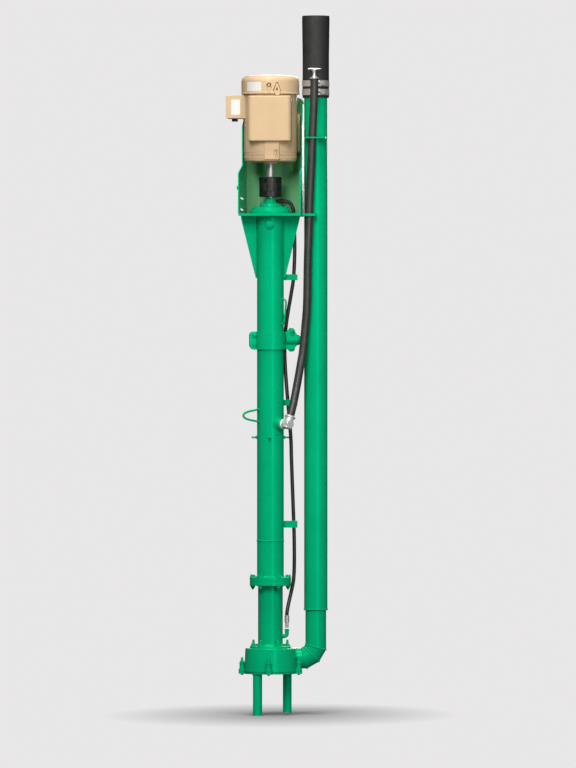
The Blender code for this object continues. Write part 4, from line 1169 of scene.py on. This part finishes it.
class PUMP_OT_hoses(bpy.types.Operator):
    """The filler hose with its elbow and plug, and the grease hose with its fittings"""

    bl_idname = "pump.hoses"
    bl_label = "Hoses"

    def execute(self, context):
        hose = swept("filler_line", smooth_route(FILLER_ROUTE, 0.012), FILLER_HOSE_RADIUS, sides=32)
        finish_piece(hose, "hose_rubber", "filler_hose")
        hose = swept("grease_line", smooth_route(GREASE_ROUTE, 0.010), GREASE_HOSE_RADIUS, sides=20)
        finish_piece(hose, "thin_hose", "grease_hose")
        self.elbow()
        self.plug()
        self.grease_fittings()
        return {"FINISHED"}

    def elbow(self):
        corner, outward = filler_corner(), filler_heading()
        start = UP * FILLER_BOSS_HEIGHT + outward * (FILLER_BOSS_REACH + GAP)
        end = Vector(FILLER_ROUTE[0])
        upward = (end - corner).normalized()
        end -= upward * GAP
        radius = 0.0212
        bend = rod("filler_bend", start, corner + outward * radius, radius, edge=0.003)
        carve(bend, rod("upright", corner - upward * radius, end, radius, edge=0.003), "UNION")
        soften(bend, 0.0015)
        near_rim = rod("near_rim", start, start + outward * 0.0100, 0.0250, edge=0.0040)
        far_rim = rod("far_rim", end - upward * 0.0085, end, 0.0275, edge=0.0030)
        finish_piece(joined("filler_bend", bend, near_rim, far_rim), "zinc", "filler_elbow")

    def plug(self):
        x, y, top = FILLER_ROUTE[-1]
        low = top + GAP
        rises = [(0.0235, 0, 0.0008), (0.0240, 0.0035, 0.0012), (0.0135, 0.0085, 0.004)]
        rises += [(0.0082, 0.016, 0.004), (0.0076, 0.032, 0.008), (0.0120, 0.0450, 0.002)]
        corners = [(radius, low + rise, edge) for radius, rise, edge in rises]
        stem = turned("stem", [(0, low), *corners, (0, low + 0.0475)], (x, y), SMALL)
        half = [(1, 0.45), (0.96, 0.66), (0.5, 0.85)]
        swells = [(-share, scale) for share, scale in half] + [(0, 1.0)] + half[::-1]
        ends = [(x + share * 0.032, y, low + 0.0485) for share, _ in swells]
        bar = swept("bar", ends, 0.0047, [scale for _, scale in swells], sides=16)
        finish_piece(joined("filler_stopper", stem, bar), "turned_steel", "filler_plug")

    def grease_fittings(self):
        x, y, top = GREASE_ROUTE[0]
        height = 0.387
        wall = LOWER_COLUMN_RADIUS - 0.001
        wide, narrow, stem = 0.0118, 0.0112, 0.0078
        corners = [(0, top - GAP), (wide, top - GAP, 0.001), (narrow, top - 0.008), (wide, top - 0.016)]
        corners += [(narrow, top - 0.024), (wide, top - 0.033, 0.001), (0.0085, top - 0.034)]
        corners += [(stem, top - 0.060), (0, top - 0.060)]
        finish_piece(turned("hose_crimp", corners, (x, y), SMALL), "turned_steel", "grease_fitting")
        nut = lifted(hexagon(0.021, 0.016), height + 0.020)
        nut.location = (x, y, 0)
        apply_place(nut)
        route = [(wall, y, height), (x - 0.012, y, height), (x - 0.003, y, height + 0.004)]
        route += [(x, y, height + 0.012), (x, y, height + 0.022)]
        bend = swept("bend", smooth_route(route, 0.003), 0.0098, sides=16)
        ring = turned("ring", [(0, 0), (0.0125, 0, 0.001), (0.0125, 0.006, 0.001), (0, 0.006)], sides=6)
        laid(ring, (wall + 0.002, y, height), (1, 0, 0))
        finish_piece(joined("grease_bend", nut, ring, bend), "green")
        self.grease_inlet()

    def grease_inlet(self):
        hose_end = Vector(GREASE_ROUTE[-1])
        outward = Vector((hose_end.x, hose_end.y, 0)).normalized()
        start, end = UP * hose_end.z + outward * 0.0285, hose_end - outward * GAP
        stem = rod("stem", start, end, 0.0068, sides=SMALL)
        sleeve = rod("sleeve", hose_end - outward * 0.015, end, 0.0104, sides=SMALL)
        nut = laid(hexagon(0.018, 0.009), hose_end - outward * 0.0245, outward)
        finish_piece(joined("grease_nipple", stem, nut, sleeve), "iron", "grease_inlet")


class PUMP_OT_motor(bpy.types.Operator):
    """The motor: end bell, body, fan cover, front cover, conduit box and feet"""

    bl_idname = "pump.motor"
    bl_label = "Motor"

    def execute(self, context):
        self.end_bell()
        self.body()
        self.fan_cover(context.scene.pump_detail.vents)
        self.front_cover()
        self.conduit_box()
        self.feet()
        return {"FINISHED"}

    def end_bell(self):
        low, high = span("motor_end_bell")
        bottom = low.z + 0.007
        bore = 0.018
        corners = [(0, high.z), (MOTOR_RADIUS, high.z, 0.001), (MOTOR_RADIUS, bottom + 0.022, 0.004)]
        corners += [(MOTOR_RADIUS - 0.006, bottom + 0.003, 0.008), (0.060, bottom, 0.004)]
        corners += [(0.056, bottom + 0.006, 0.004), (0.036, bottom + 0.006, 0.003), (0.032, low.z, 0.0015)]
        corners += [(bore, low.z, 0.001), (bore, bottom + 0.026), (0, bottom + 0.026)]
        bell = turned("drive_end_bell", corners, sides=FINE)
        notches = []
        for x, y in (at_bearing((0, 0), MOTOR_RADIUS, bearing) for bearing in BELL_BOLTS):
            notches.append(rod("notch", (x, y, low.z - PAST), (x, y, bottom + 0.015), 0.0072, sides=SMALL))
        finish_piece(carve(bell, joined("notches", *notches)), "beige", "motor_end_bell")

    def body(self):
        low, high = span("motor_body")
        seam = MOTOR_RADIUS - 0.0015
        corners = [(0, high.z), (MOTOR_RADIUS, high.z, 0.001), (MOTOR_RADIUS, low.z + 0.016, 0.001)]
        corners += [(seam, low.z + 0.014, 0.001), (seam, low.z + 0.001, 0.001), (0, low.z + 0.001)]
        body = turned("motor_frame", corners, sides=FINE)
        face = -0.1340
        pad = block("pad", (-0.0225, face, 2.718), (0.0515, -0.090, 2.856), 0.006, 0.004, "XZ")
        x, z = 0.0330, 2.7505
        oval = [(x + 0.0085 * u, z + 0.0165 * v) for u, v in circle((0, 0), 1.0)]
        carve(pad, plate("hollow", oval, -0.15, -0.119, plane="XZ"))
        ridge = [(x + 0.0115 * u, face, z + 0.0205 * v) for u, v in arc((0, 0), 1.0, -95, 95, 24)]
        eye = swept("eye", ridge, 0.0040, sides=12)
        finish_piece(joined("motor_frame", body, pad, eye), "beige", "motor_body")

    def fan_cover(self, vents):
        low, high = span("fan_cover")
        rim = FAN_COVER_RADIUS + 0.0015
        corners = [(0, high.z), (0.072, high.z - 0.002, 0.060), (FAN_COVER_RADIUS, high.z - 0.010, 0.027)]
        corners += [(FAN_COVER_RADIUS, low.z + 0.009, 0.002), (rim, low.z + 0.006, 0.001)]
        corners += [(rim, low.z, 0.0008), (FAN_COVER_RADIUS - 0.004, low.z, 0.0008)]
        corners += [(FAN_COVER_RADIUS - 0.006, low.z + 0.004)]
        cover = turned("fan_cowl", [*corners, (0, low.z + 0.004)], sides=FINE)
        half = 0.0026
        slot = block("slot", (0.040, -half, high.z - PAST), (0.104, half, high.z + PAST), 0.0025, 0.0003)
        copies = []
        for index in range(vents):
            copy = copied(slot)
            copy.rotation_euler.z = math.tau * index / vents
            copies.append(apply_place(copy))
        choose(slot)
        bpy.ops.object.delete()
        carve(cover, joined("slots", *copies))
        parts = self.recess(cover, low.z) + self.lug(cover, low.z)
        finish_piece(joined("lifting_points", *parts), "beige")
        finish_piece(cover, "beige", "fan_cover")

    def recess(self, cover, low):
        """A round recess in the cover's front with its rim and button, and a post below it."""
        x, height = 0.0018, low + 0.0425
        front = -math.sqrt(FAN_COVER_RADIUS**2 - x**2)
        carve(cover, rod("recess", (x, front - PAST, height), (x, front + 0.014, height), 0.0118))
        inner, outer, deep = 0.0112, 0.0150, 0.0042
        profile = [(inner, 0), (outer, 0), (outer, deep, 0.0018), (inner, deep, 0.0010)]
        ring = turned("ring", profile, sides=MEDIUM, closed=True)
        laid(ring, (x, front + 0.001, height), FORWARD)
        button = rod("button", (x, front + 0.015, height), (x, front + 0.001, height), 0.0062, edge=0.002)
        start, end = (x - 0.006, front - 0.004, low), (x + 0.006, front + 0.004, height - 0.0135)
        return [ring, button, block("post", start, end, 0.002, 0.001)]

    def lug(self, cover, low):
        """The lifting lug beside the recess, with a web, in the pocket that is cut for it."""
        x = 0.0413

        def mirrored(shape):
            """A shape about the lug's middle; each row is a half width, a rise and a rounding."""
            left = [(x - half, low + rise, edge) for half, rise, edge in shape]
            return left + [(x + half, low + rise, edge) for half, rise, edge in reversed(shape)]

        front = -math.sqrt(FAN_COVER_RADIUS**2 - (x - 0.012) ** 2) - 0.0045
        pocket = mirrored([(0.0215, 0.009, 0.005), (0.0050, 0.0555, 0.005)])
        carve(cover, plate("pocket", pocket, front - 0.02, front + 0.020, plane="XZ"))
        outline = mirrored([(0.0155, 0.012, 0.005), (0.0040, 0.050, 0.0038)])
        outline += [(x + 0.0120, low - 0.008, 0.010), (x - 0.0040, low - 0.008, 0.008)]
        eye = [(x - 0.0060, low + 0.016, 0.002), (x, low + 0.036, 0.002), (x + 0.0060, low + 0.016, 0.002)]
        lug = plate("lug", outline, front, front + 0.009, [eye], plane="XZ", edge=0.0012)
        start, end = (x - 0.003, front + 0.006, low + 0.038), (x + 0.003, front + 0.03, low + 0.046)
        return [lug, block("web", start, end, 0.001, 0.0005)]

    def front_cover(self):
        low, high = span("motor_front_cover")
        corner, back = 0.022, -0.050
        outline = [(low.x, low.y, corner), (high.x, low.y, corner), (high.x, back), (low.x, back)]
        cover = plate("front_cover", outline, low.z, high.z, edge=0.0075)
        carve(cover, core(MOTOR_RADIUS - 0.004, low.z - PAST, high.z + PAST))
        finish_piece(cover, "beige", "motor_front_cover")

    def conduit_box(self):
        low, high = span("conduit_box")
        right, lid_depth, inset = -0.105, -0.012, 0.002
        edges = (0.008, 0.003, "XZ")
        body = block("body", (low.x, lid_depth + 0.0008, low.z), (right, high.y, high.z), *edges)
        lid = block("lid", (low.x, low.y, low.z), (right, lid_depth, high.z), *edges)
        start = (low.x + inset, lid_depth - 0.01, low.z + inset)
        filling = block("filling", start, (right - inset, 0.01, high.z - inset), 0.006, 0.001, "XZ")
        for part in (body, lid, filling):
            carve(part, core(MOTOR_RADIUS - 0.003, low.z - PAST, high.z + PAST))
        finish_piece(joined("terminal_box", body, lid, filling), "beige", "conduit_box")
        gland = laid(bolt(0.018), (-0.1735, -0.010, low.z + 0.001), -UP)
        finish_piece(joined("cable_gland", gland), "iron")

    def feet(self):
        low, high = span("motor_feet")
        sole = high.y
        spread = math.degrees(math.acos(0.098 / (MOTOR_RADIUS + 0.0005)))
        outline = [(low.x, sole), (low.x, sole - 0.012), (-0.106, sole - 0.016, 0.004)]
        outline += arc((0, 0), MOTOR_RADIUS + 0.0004, 180 - spread, spread, 20)
        outline += [(0.106, sole - 0.016, 0.004), (high.x, sole - 0.012), (high.x, sole)]
        cradle = plate("motor_cradle", outline, low.z, high.z)
        lips = []
        for left, right in ((low.x, low.x + 0.005), (high.x - 0.014, high.x)):
            start, end = (left, sole - 0.052, low.z + 0.008), (right, sole - 0.006, high.z - 0.008)
            lips.append(block("lip", start, end, 0.010, 0.002, "YZ"))
        finish_piece(joined("motor_cradle", cradle, *lips), "beige", "motor_feet")


class PUMP_OT_stand(bpy.types.Operator):
    """The back plate and the two side plates that hold the motor"""

    bl_idname = "pump.stand"
    bl_label = "Stand"

    def execute(self, context):
        low, high = span("stand_back_plate")
        round_corner, clip = 0.030, 0.010
        outline = [(low.x, low.z), (high.x, low.z)]
        outline += arc((high.x - round_corner, high.z - round_corner), round_corner, 0, 90, 8)
        outline += [(low.x + clip, high.z, 0.003), (low.x, high.z - clip, 0.003)]
        back = plate("back_wall", outline, low.y, high.y, plane="XZ")
        finish_piece(back, "dull", "stand_back_plate")
        foot, top, depth, neck, crown = PLATE_TOP + GAP, 2.994, 0.243, 0.118, 0.074
        side = [(0, foot), (depth, foot, 0.003), (depth, 2.655, 0.008), (neck, 2.695, 0.008)]
        side += [(neck, 2.882, 0.010), (crown, 2.914, 0.010), (crown, top, 0.006), (0, top)]
        slots = []
        for height in (2.532, 2.477):
            slot = arc((0.080, height - 0.003), 0.0055, 90, 270, 8)
            slots.append(slot + arc((0.190, height + 0.002), 0.0055, -90, 90, 8))
        flare = math.atan2(-0.150 - LEFT_HINGE, STAND_FACE + 0.115)
        self.side("stand_side_left", side, slots, LEFT_HINGE, flare)
        self.side("stand_side_right", side, [], PLATE_RIGHT - SIDE_THICKNESS / 2, 0.0)
        return {"FINISHED"}

    def side(self, node, outline, holes, x, flare):
        half = SIDE_THICKNESS / 2
        wall = plate(node + "_wall", outline, -half, half, holes)
        wall.rotation_euler = (math.pi / 2, 0, -math.pi / 2 + flare)
        wall.location = (x, STAND_FACE, 0)
        finish_piece(apply_place(wall), "green", node)


class PUMP_OT_drive(bpy.types.Operator):
    """The jaw coupling and the two shafts, which turn together"""

    bl_idname = "pump.drive"
    bl_label = "Drive"

    def execute(self, context):
        low, top = span("coupling_lower")[0].z, span("coupling_upper")[1].z
        hub = 0.030
        lower_top, upper_low = low + hub, top - hub
        jaws = (lower_top - 0.002, upper_low - GAP), (lower_top + GAP, upper_low + 0.002)
        self.half("coupling_lower", 90, jaws[0], (low, lower_top), SHAFT_RADIUS + GAP)
        self.half("coupling_upper", 270, jaws[1], (upper_low, top), 0.0175 + GAP)
        web = 11
        star = []
        for middle_angle in range(0, 360, 60):
            reach = web - 0.6
            star += arc((0, 0), COUPLING_RADIUS - 0.001, middle_angle - reach, middle_angle + reach, 6)
            reach = web - 1.4
            star += arc((0, 0), 0.0234, middle_angle + reach, middle_angle + 60 - reach, 6)
        bore = circle((0, 0), 0.0200)
        spider = plate("coupling_star", star, lower_top + GAP, upper_low - GAP, [bore], edge=0.0005)
        finish_piece(spider, "wrapped_rubber", "coupling_spider", body="rotor")
        for node in ("pump_shaft", "motor_shaft"):
            low, high = span(node)
            shaft = rod(node + "_bar", (0, 0, low.z), (0, 0, high.z), (high.x - low.x) / 2)
            finish_piece(shaft, "turned_steel", node, body="rotor")
        return {"FINISHED"}

    def half(self, node, bearing, jaw_span, hub_span, bore):
        """A coupling half: its hub, rounded at the outer end, and three jaws."""
        (start, end), (bottom, lid) = jaw_span, hub_span
        outer, inner = 0.0018, 0.0006
        profile = [
            (bore, lid, 0.001),
            (COUPLING_RADIUS, lid, outer if node == "coupling_upper" else inner),
            (COUPLING_RADIUS, bottom, outer if node == "coupling_lower" else inner),
            (bore, bottom, 0.001),
        ]
        pieces = [turned("hub", profile, closed=True)]
        for jaw in range(bearing, bearing + 360, 120):
            outline = arc((0, 0), COUPLING_RADIUS, jaw - 19, jaw + 19, 10)
            outline += arc((0, 0), 0.024, jaw + 19, jaw - 19, 6)
            pieces.append(plate("jaw", outline, start, end, edge=0.0008))
        finish_piece(joined(node + "_hub", *pieces), "iron", node, body="rotor")


class PUMP_OT_fasteners(bpy.types.Operator):
    """Bolts, studs and nuts"""

    bl_idname = "pump.fasteners"
    bl_label = "Fasteners"

    def execute(self, context):
        size = context.scene.pump_detail.bolt
        sixths = range(0, 360, 60)
        seats = ring_seats(FLANGE_BOLT_CIRCLE, sixths, FLANGE_HIGH, UP)
        heads = stamped("heads", bolt(size * 1.22), seats)
        seats = ring_seats(FLANGE_BOLT_CIRCLE, sixths, FLANGE_LOW, -UP)
        nuts = stamped("nuts", bolt(size * 1.05, stud=0.010), seats)
        finish_piece(joined("flange_bolts", heads, nuts), "green")
        cover_top = span("volute_cover")[0].z + COVER_FLANGE
        seats = ring_seats(0.083, sixths, cover_top, UP)
        finish_piece(stamped("cover_studs", bolt(size * 1.2, stud=0.021), seats), "green")
        self.lug_bolts(size)
        self.small_bolts()
        self.collar_bolts()
        self.motor_bolts()
        return {"FINISHED"}

    def lug_bolts(self, size):
        top = span("volute_casing")[0].z + LUG_HEIGHT
        quarters = range(0, 360, 90)
        radius, tall = 0.0128, 0.026
        sleeve = turned("sleeve", [(0, 0), (radius, 0), (radius, tall, 0.002), (0, tall)], sides=SMALL)
        stack = joined("stack", sleeve, lifted(bolt(size * 1.12, stud=0.020), tall))
        upper = stamped("upper", stack, ring_seats(LUG_CIRCLE, quarters, top, UP))
        seats = ring_seats(LUG_CIRCLE, quarters, span("bottom_plate")[0].z, -UP)
        lower = stamped("lower", bolt(size * 0.65, washer=False), seats)
        finish_piece(joined("lug_bolts", upper, lower), "green")

    def small_bolts(self):
        radius, length = 0.0048, 0.028
        corners = [(0, 0), (radius, 0), (radius, length, 0.0010), (0, length)]
        nut = lifted(hexagon(0.0135, 0.006), 0.0015)
        screw = joined("screw", nut, turned("shank", corners, sides=SMALL))
        seats = outward_seats(COLUMN_RADIUS - 0.001, range(0, 360, 90), [1.361])
        finish_piece(stamped("centring_screws", screw, seats), "green")
        seats = ring_seats(0.076, range(15, 360, 60), PLATE_TOP + GAP + 0.0300, UP)
        finish_piece(stamped("housing_bolts", bolt(0.009), seats), "green")

    def collar_bolts(self):
        turn = Matrix.Rotation(BRACE_BEARING, 3, "Z")
        face = COLLAR_SPLIT + COLLAR_EAR
        places = [(-0.0845, 1.8605), (-0.0845, 1.8180)]
        places += [(GRIP_REACH, BRACE_HEIGHT + GRIP_RISE), (GRIP_REACH, BRACE_HEIGHT - GRIP_RISE)]
        front = [(turn @ Vector((x, -face, z)), turn @ FORWARD) for x, z in places]
        back = [(turn @ Vector((x, face, z)), turn @ -FORWARD) for x, z in places]
        heads = stamped("heads", bolt(0.0125, stud=0.010), front)
        nuts = stamped("nuts", bolt(0.0125, stud=0.014), back)
        finish_piece(joined("collar_bolts", heads, nuts), "green")

    def motor_bolts(self):
        bell = span("motor_end_bell")[0].z + 0.0222
        lower = stamped("lower", bolt(0.0062, stud=0.004), ring_seats(0.1262, BELL_BOLTS, bell, -UP))
        sole = span("motor_feet")[1].y - 0.0125
        seats = [((x, sole, z), FORWARD) for x in (-0.114, 0.1185) for z in (2.9376, 2.766)]
        feet = stamped("feet", bolt(0.010), seats)
        corners = [(0, 0), (0.0046, 0), (0.0046, 0.003, 0.0015), (0, 0.0035)]
        seats = outward_seats(MOTOR_RADIUS - 0.0008, (-24, 204), (2.911, 2.886))
        screws = stamped("screws", turned("round_head", corners, sides=SMALL), seats)
        finish_piece(joined("motor_bolts", lower, feet, screws), "beige")
        along = Vector((-0.150 - LEFT_HINGE, -0.115 - STAND_FACE, 0)).normalized()
        outward = Vector((along.y, -along.x, 0))
        seat = Vector((LEFT_HINGE, STAND_FACE, 2.582)) + along * 0.219 + outward * (SIDE_THICKNESS / 2)
        finish_piece(stamped("stand_bolt", bolt(0.010), [(seat, outward)]), "green")


def saddle_route(outward, height, radius):
    """Where a round boss of that radius meets the upper column."""
    across = UP.cross(outward)
    route = []
    for side, rise in circle((0, 0), radius, MEDIUM):
        reach = math.sqrt(COLUMN_RADIUS**2 - side**2)
        route.append(outward * reach + across * side + UP * (height + rise))
    return route


class PUMP_OT_welds(bpy.types.Operator):
    """Weld beads where tubes and plates meet"""

    bl_idname = "pump.welds"
    bl_label = "Welds"

    def execute(self, context):
        beads = [
            bead(ring_route(COLUMN_RADIUS - 0.0018, 0.855), True),
            bead(ring_route(COLUMN_RADIUS, FLANGE_HIGH), True, 1.3),
            bead(ring_route(LOWER_COLUMN_RADIUS, FLANGE_LOW), True, 1.2),
            bead(ring_route(COLUMN_RADIUS, span("upper_column")[1].z), True, 1.2),
            bead(ring_route(PIPE_RADIUS - 0.0020, span("discharge_pipe")[0].z, PIPE_SPOT), True),
            bead(saddle_route(filler_heading(), FILLER_BOSS_HEIGHT, FILLER_BOSS_RADIUS + 0.001), True),
            bead(saddle_route(FORWARD, LEVEL_PLUG_HEIGHT, 0.0205), True, 0.8),
        ]
        beads += [bead(mitre_ring(index, ELBOW_RADIUS - 0.0014), True, 0.9) for index in (1, 2, 3)]
        low, high = span("gusset_left")
        for side in (-1, 1):
            inner, outer = side * (COLUMN_RADIUS + 0.001), side * 0.142
            for depth in (-0.005, 0.005):
                corner = (inner, depth, high.z)
                beads.append(bead([(inner, depth, low.z), corner], False, 0.8))
                beads.append(bead([corner, (outer, depth, high.z)], False, 0.8))
        for node in LEGS:
            low, high = span(node)
            beads.append(bead(ring_route((high.x - low.x) / 2, high.z, middle(node)), True, 0.8))
        finish_piece(joined("weld_beads", *beads), "green")
        return {"FINISHED"}


class PUMP_OT_labels(bpy.types.Operator):
    """Two blank labels on the motor"""

    bl_idname = "pump.labels"
    bl_label = "Blank labels"

    def execute(self, context):
        low, _ = span("fan_cover")
        start, end, radius = -139.0, -104.8, FAN_COVER_RADIUS + 0.0003
        outline = arc((0, 0), radius + 0.0003, start, end, 12) + arc((0, 0), radius, end, start, 12)
        finish_piece(plate("cowl_label", outline, low.z + 0.013, low.z + 0.058, edge=0.0001), "label")
        low, _ = span("conduit_box")
        start, end = low + Vector((0.026, -0.0004, 0.018)), low + Vector((0.070, 0.0002, 0.092))
        finish_piece(block("box_label", start, end, 0.002, 0.0001, "XZ"), "label")
        return {"FINISHED"}


class PUMP_OT_kept_nodes(bpy.types.Operator):
    """Finishes for the CAD nodes that still show"""

    bl_idname = "pump.kept_nodes"
    bl_label = "Kept nodes"

    def execute(self, context):
        for node, piece in frame["nodes"].items():
            if piece.hide_render:
                continue
            finish = "iron" if node == "impeller" else "green"
            piece.material_slots[0].material = finish_material(finish)
        return {"FINISHED"}


# Studio


def lamp(name, place, aim, size, power):
    """A rectangular soft light that looks from place to aim."""
    rest()
    bpy.ops.object.light_add(type="AREA", location=place)
    light = named(name)
    light.rotation_euler = (Vector(aim) - Vector(place)).to_track_quat("-Z", "Y").to_euler()
    light.data.shape = "RECTANGLE"
    light.data.size, light.data.size_y = size
    light.data.energy = power
    light.visible_camera = False
    return light


class PUMP_OT_studio(bpy.types.Operator):
    """The floor, the lights, the room and the camera"""

    bl_idname = "pump.studio"
    bl_label = "Studio"

    def execute(self, context):
        studio = context.scene.pump_studio
        self.floor(studio)
        self.lights(context, studio)
        self.camera(context, studio)
        return {"FINISHED"}

    def floor(self, studio):
        """A wide flat sheet at the feet, the same colour as the room far away."""
        rest()
        bpy.ops.mesh.primitive_plane_add(size=240, location=DATUM)
        sheet = apply_place(named("floor_sheet"))
        sheet.data.materials.append(self.sheet_finish(studio))
        sheet.visible_glossy = False
        sheet.visible_diffuse = False

    def sheet_finish(self, studio):
        """A floor round the pump's feet with a painted shadow pool, darker and also lit and shaded by the
        lamps, which turns into an evenly glowing one further away.
        """
        # Near the feet the floor takes 0.42 of the backdrop's colour: a painted shadow pool, stretched
        # across by the squeeze, that real shadows darken further.
        material, tree, shader, where = new_finish("pale_floor", shade(studio.backdrop, 0.42), 0.9)
        shadow_pool_squeeze = 1.7
        feet = ((DATUM.x + 0.05) * shadow_pool_squeeze, DATUM.y, DATUM.z)
        apart = add_node(tree, "VectorMath", {0: stretched(tree, where, (shadow_pool_squeeze, 1.0, 1.0)), 1: feet})
        apart.operation = "DISTANCE"
        glow = add_node(tree, "Emission", {"Color": (*studio.backdrop, 1)})
        near, far = 0.25, 1.5
        blend = add_node(tree, "MixShader", {
            "Fac": ranged(tree, apart.outputs["Value"], 0.0, 1.0, near, far),
            1: shader.outputs["BSDF"],
            2: glow.outputs["Emission"],
        })
        feed(tree, shader, {"Specular IOR Level": 0.0})
        feed(tree, tree.nodes["Material Output"], {"Surface": blend.outputs["Shader"]})
        return material

    def lights(self, context, studio):
        middle_height = 1.7
        chest = DATUM + UP * middle_height
        target = chest + Vector((0.05, 0, 0))
        lamp("key", target + Vector((-1.08, -7.60, 4.70)), target, (3.0, 3.6), studio.key)
        lamp("strip", target + Vector((2.39, -5.50, 0)), target, (0.5, 6.0), studio.strip)
        lamp("overhead", DATUM + Vector((0, -1.6, 9.0)), chest, (2.4, 3.0), studio.top)
        lamp("back", target + Vector((0.6, 8.40, 3.00)), target, (3.0, 4.0), studio.fill)
        self.room(context, studio)

    def room(self, context, studio):
        """Light from all round, dim in reflections, and the backdrop's colour where the camera looks."""
        world = bpy.data.worlds.new("room")
        world.use_nodes = True
        tree = world.node_tree
        light = tree.nodes["Background"]
        rays = tree.nodes.new("ShaderNodeLightPath").outputs
        reflected = studio.ambient * 0.2
        dimmed = ranged(tree, rays["Is Glossy Ray"], studio.ambient, reflected, 0.0, 1.0)
        feed(tree, light, {"Color": (0.96, 0.98, 1.0, 1), "Strength": dimmed})
        seen = add_node(tree, "Background", {"Color": (*studio.backdrop, 1)})
        sides = {1: light.outputs["Background"], 2: seen.outputs["Background"]}
        either = add_node(tree, "MixShader", {"Fac": rays["Is Camera Ray"], **sides})
        feed(tree, tree.nodes["World Output"], {"Surface": either.outputs["Shader"]})
        context.scene.world = world
        context.scene.view_settings.view_transform = "Standard"

    def camera(self, context, studio):
        right = Vector((math.cos(studio.turn), math.sin(studio.turn), 0))
        away = Vector((math.sin(studio.turn), -math.cos(studio.turn), 0))
        aside, height = 0.0862, 1.622
        target = DATUM + right * aside + UP * height
        rest()
        bpy.ops.object.camera_add(location=target + away * studio.distance)
        camera = named("camera")
        camera.rotation_euler = (-away).to_track_quat("-Z", "Y").to_euler()
        camera.data.sensor_width = 36
        camera.data.lens = camera.data.sensor_width * studio.distance / studio.tall
        camera.data.clip_end = 200
        context.scene.camera = camera


class PUMP_PT_dressing(bpy.types.Panel):
    """The dressing steps, in order"""

    bl_idname = "PUMP_PT_dressing"
    bl_label = "Slurry pump"
    bl_space_type = "VIEW_3D"
    bl_region_type = "UI"
    bl_category = "Pump"

    def draw(self, context):
        for step in STEPS:
            self.layout.operator(step.bl_idname)
        for settings in (context.scene.pump_colours, context.scene.pump_detail, context.scene.pump_studio):
            box = self.layout.box()
            for name in settings.bl_rna.properties.keys():
                if name not in ("rna_type", "name"):
                    box.prop(settings, name)


STEPS = (
    PUMP_OT_studio,
    PUMP_OT_legs,
    PUMP_OT_volute,
    PUMP_OT_column,
    PUMP_OT_discharge,
    PUMP_OT_plates,
    PUMP_OT_collar,
    PUMP_OT_hoses,
    PUMP_OT_motor,
    PUMP_OT_stand,
    PUMP_OT_drive,
    PUMP_OT_fasteners,
    PUMP_OT_welds,
    PUMP_OT_labels,
    PUMP_OT_kept_nodes,
)
CLASSES = (PumpColours, PumpDetail, PumpStudio, *STEPS, PUMP_PT_dressing)


def register():
    for cls in CLASSES:
        bpy.utils.register_class(cls)
    bpy.types.Scene.pump_colours = PointerProperty(type=PumpColours)
    bpy.types.Scene.pump_detail = PointerProperty(type=PumpDetail)
    bpy.types.Scene.pump_studio = PointerProperty(type=PumpStudio)


def unregister():
    del bpy.types.Scene.pump_studio
    del bpy.types.Scene.pump_detail
    del bpy.types.Scene.pump_colours
    for cls in reversed(CLASSES):
        bpy.utils.unregister_class(cls)


def main():
    register()
    for step in STEPS:
        group, name = step.bl_idname.split(".")
        getattr(getattr(bpy.ops, group), name)()


if __name__ == "__main__":
    main()
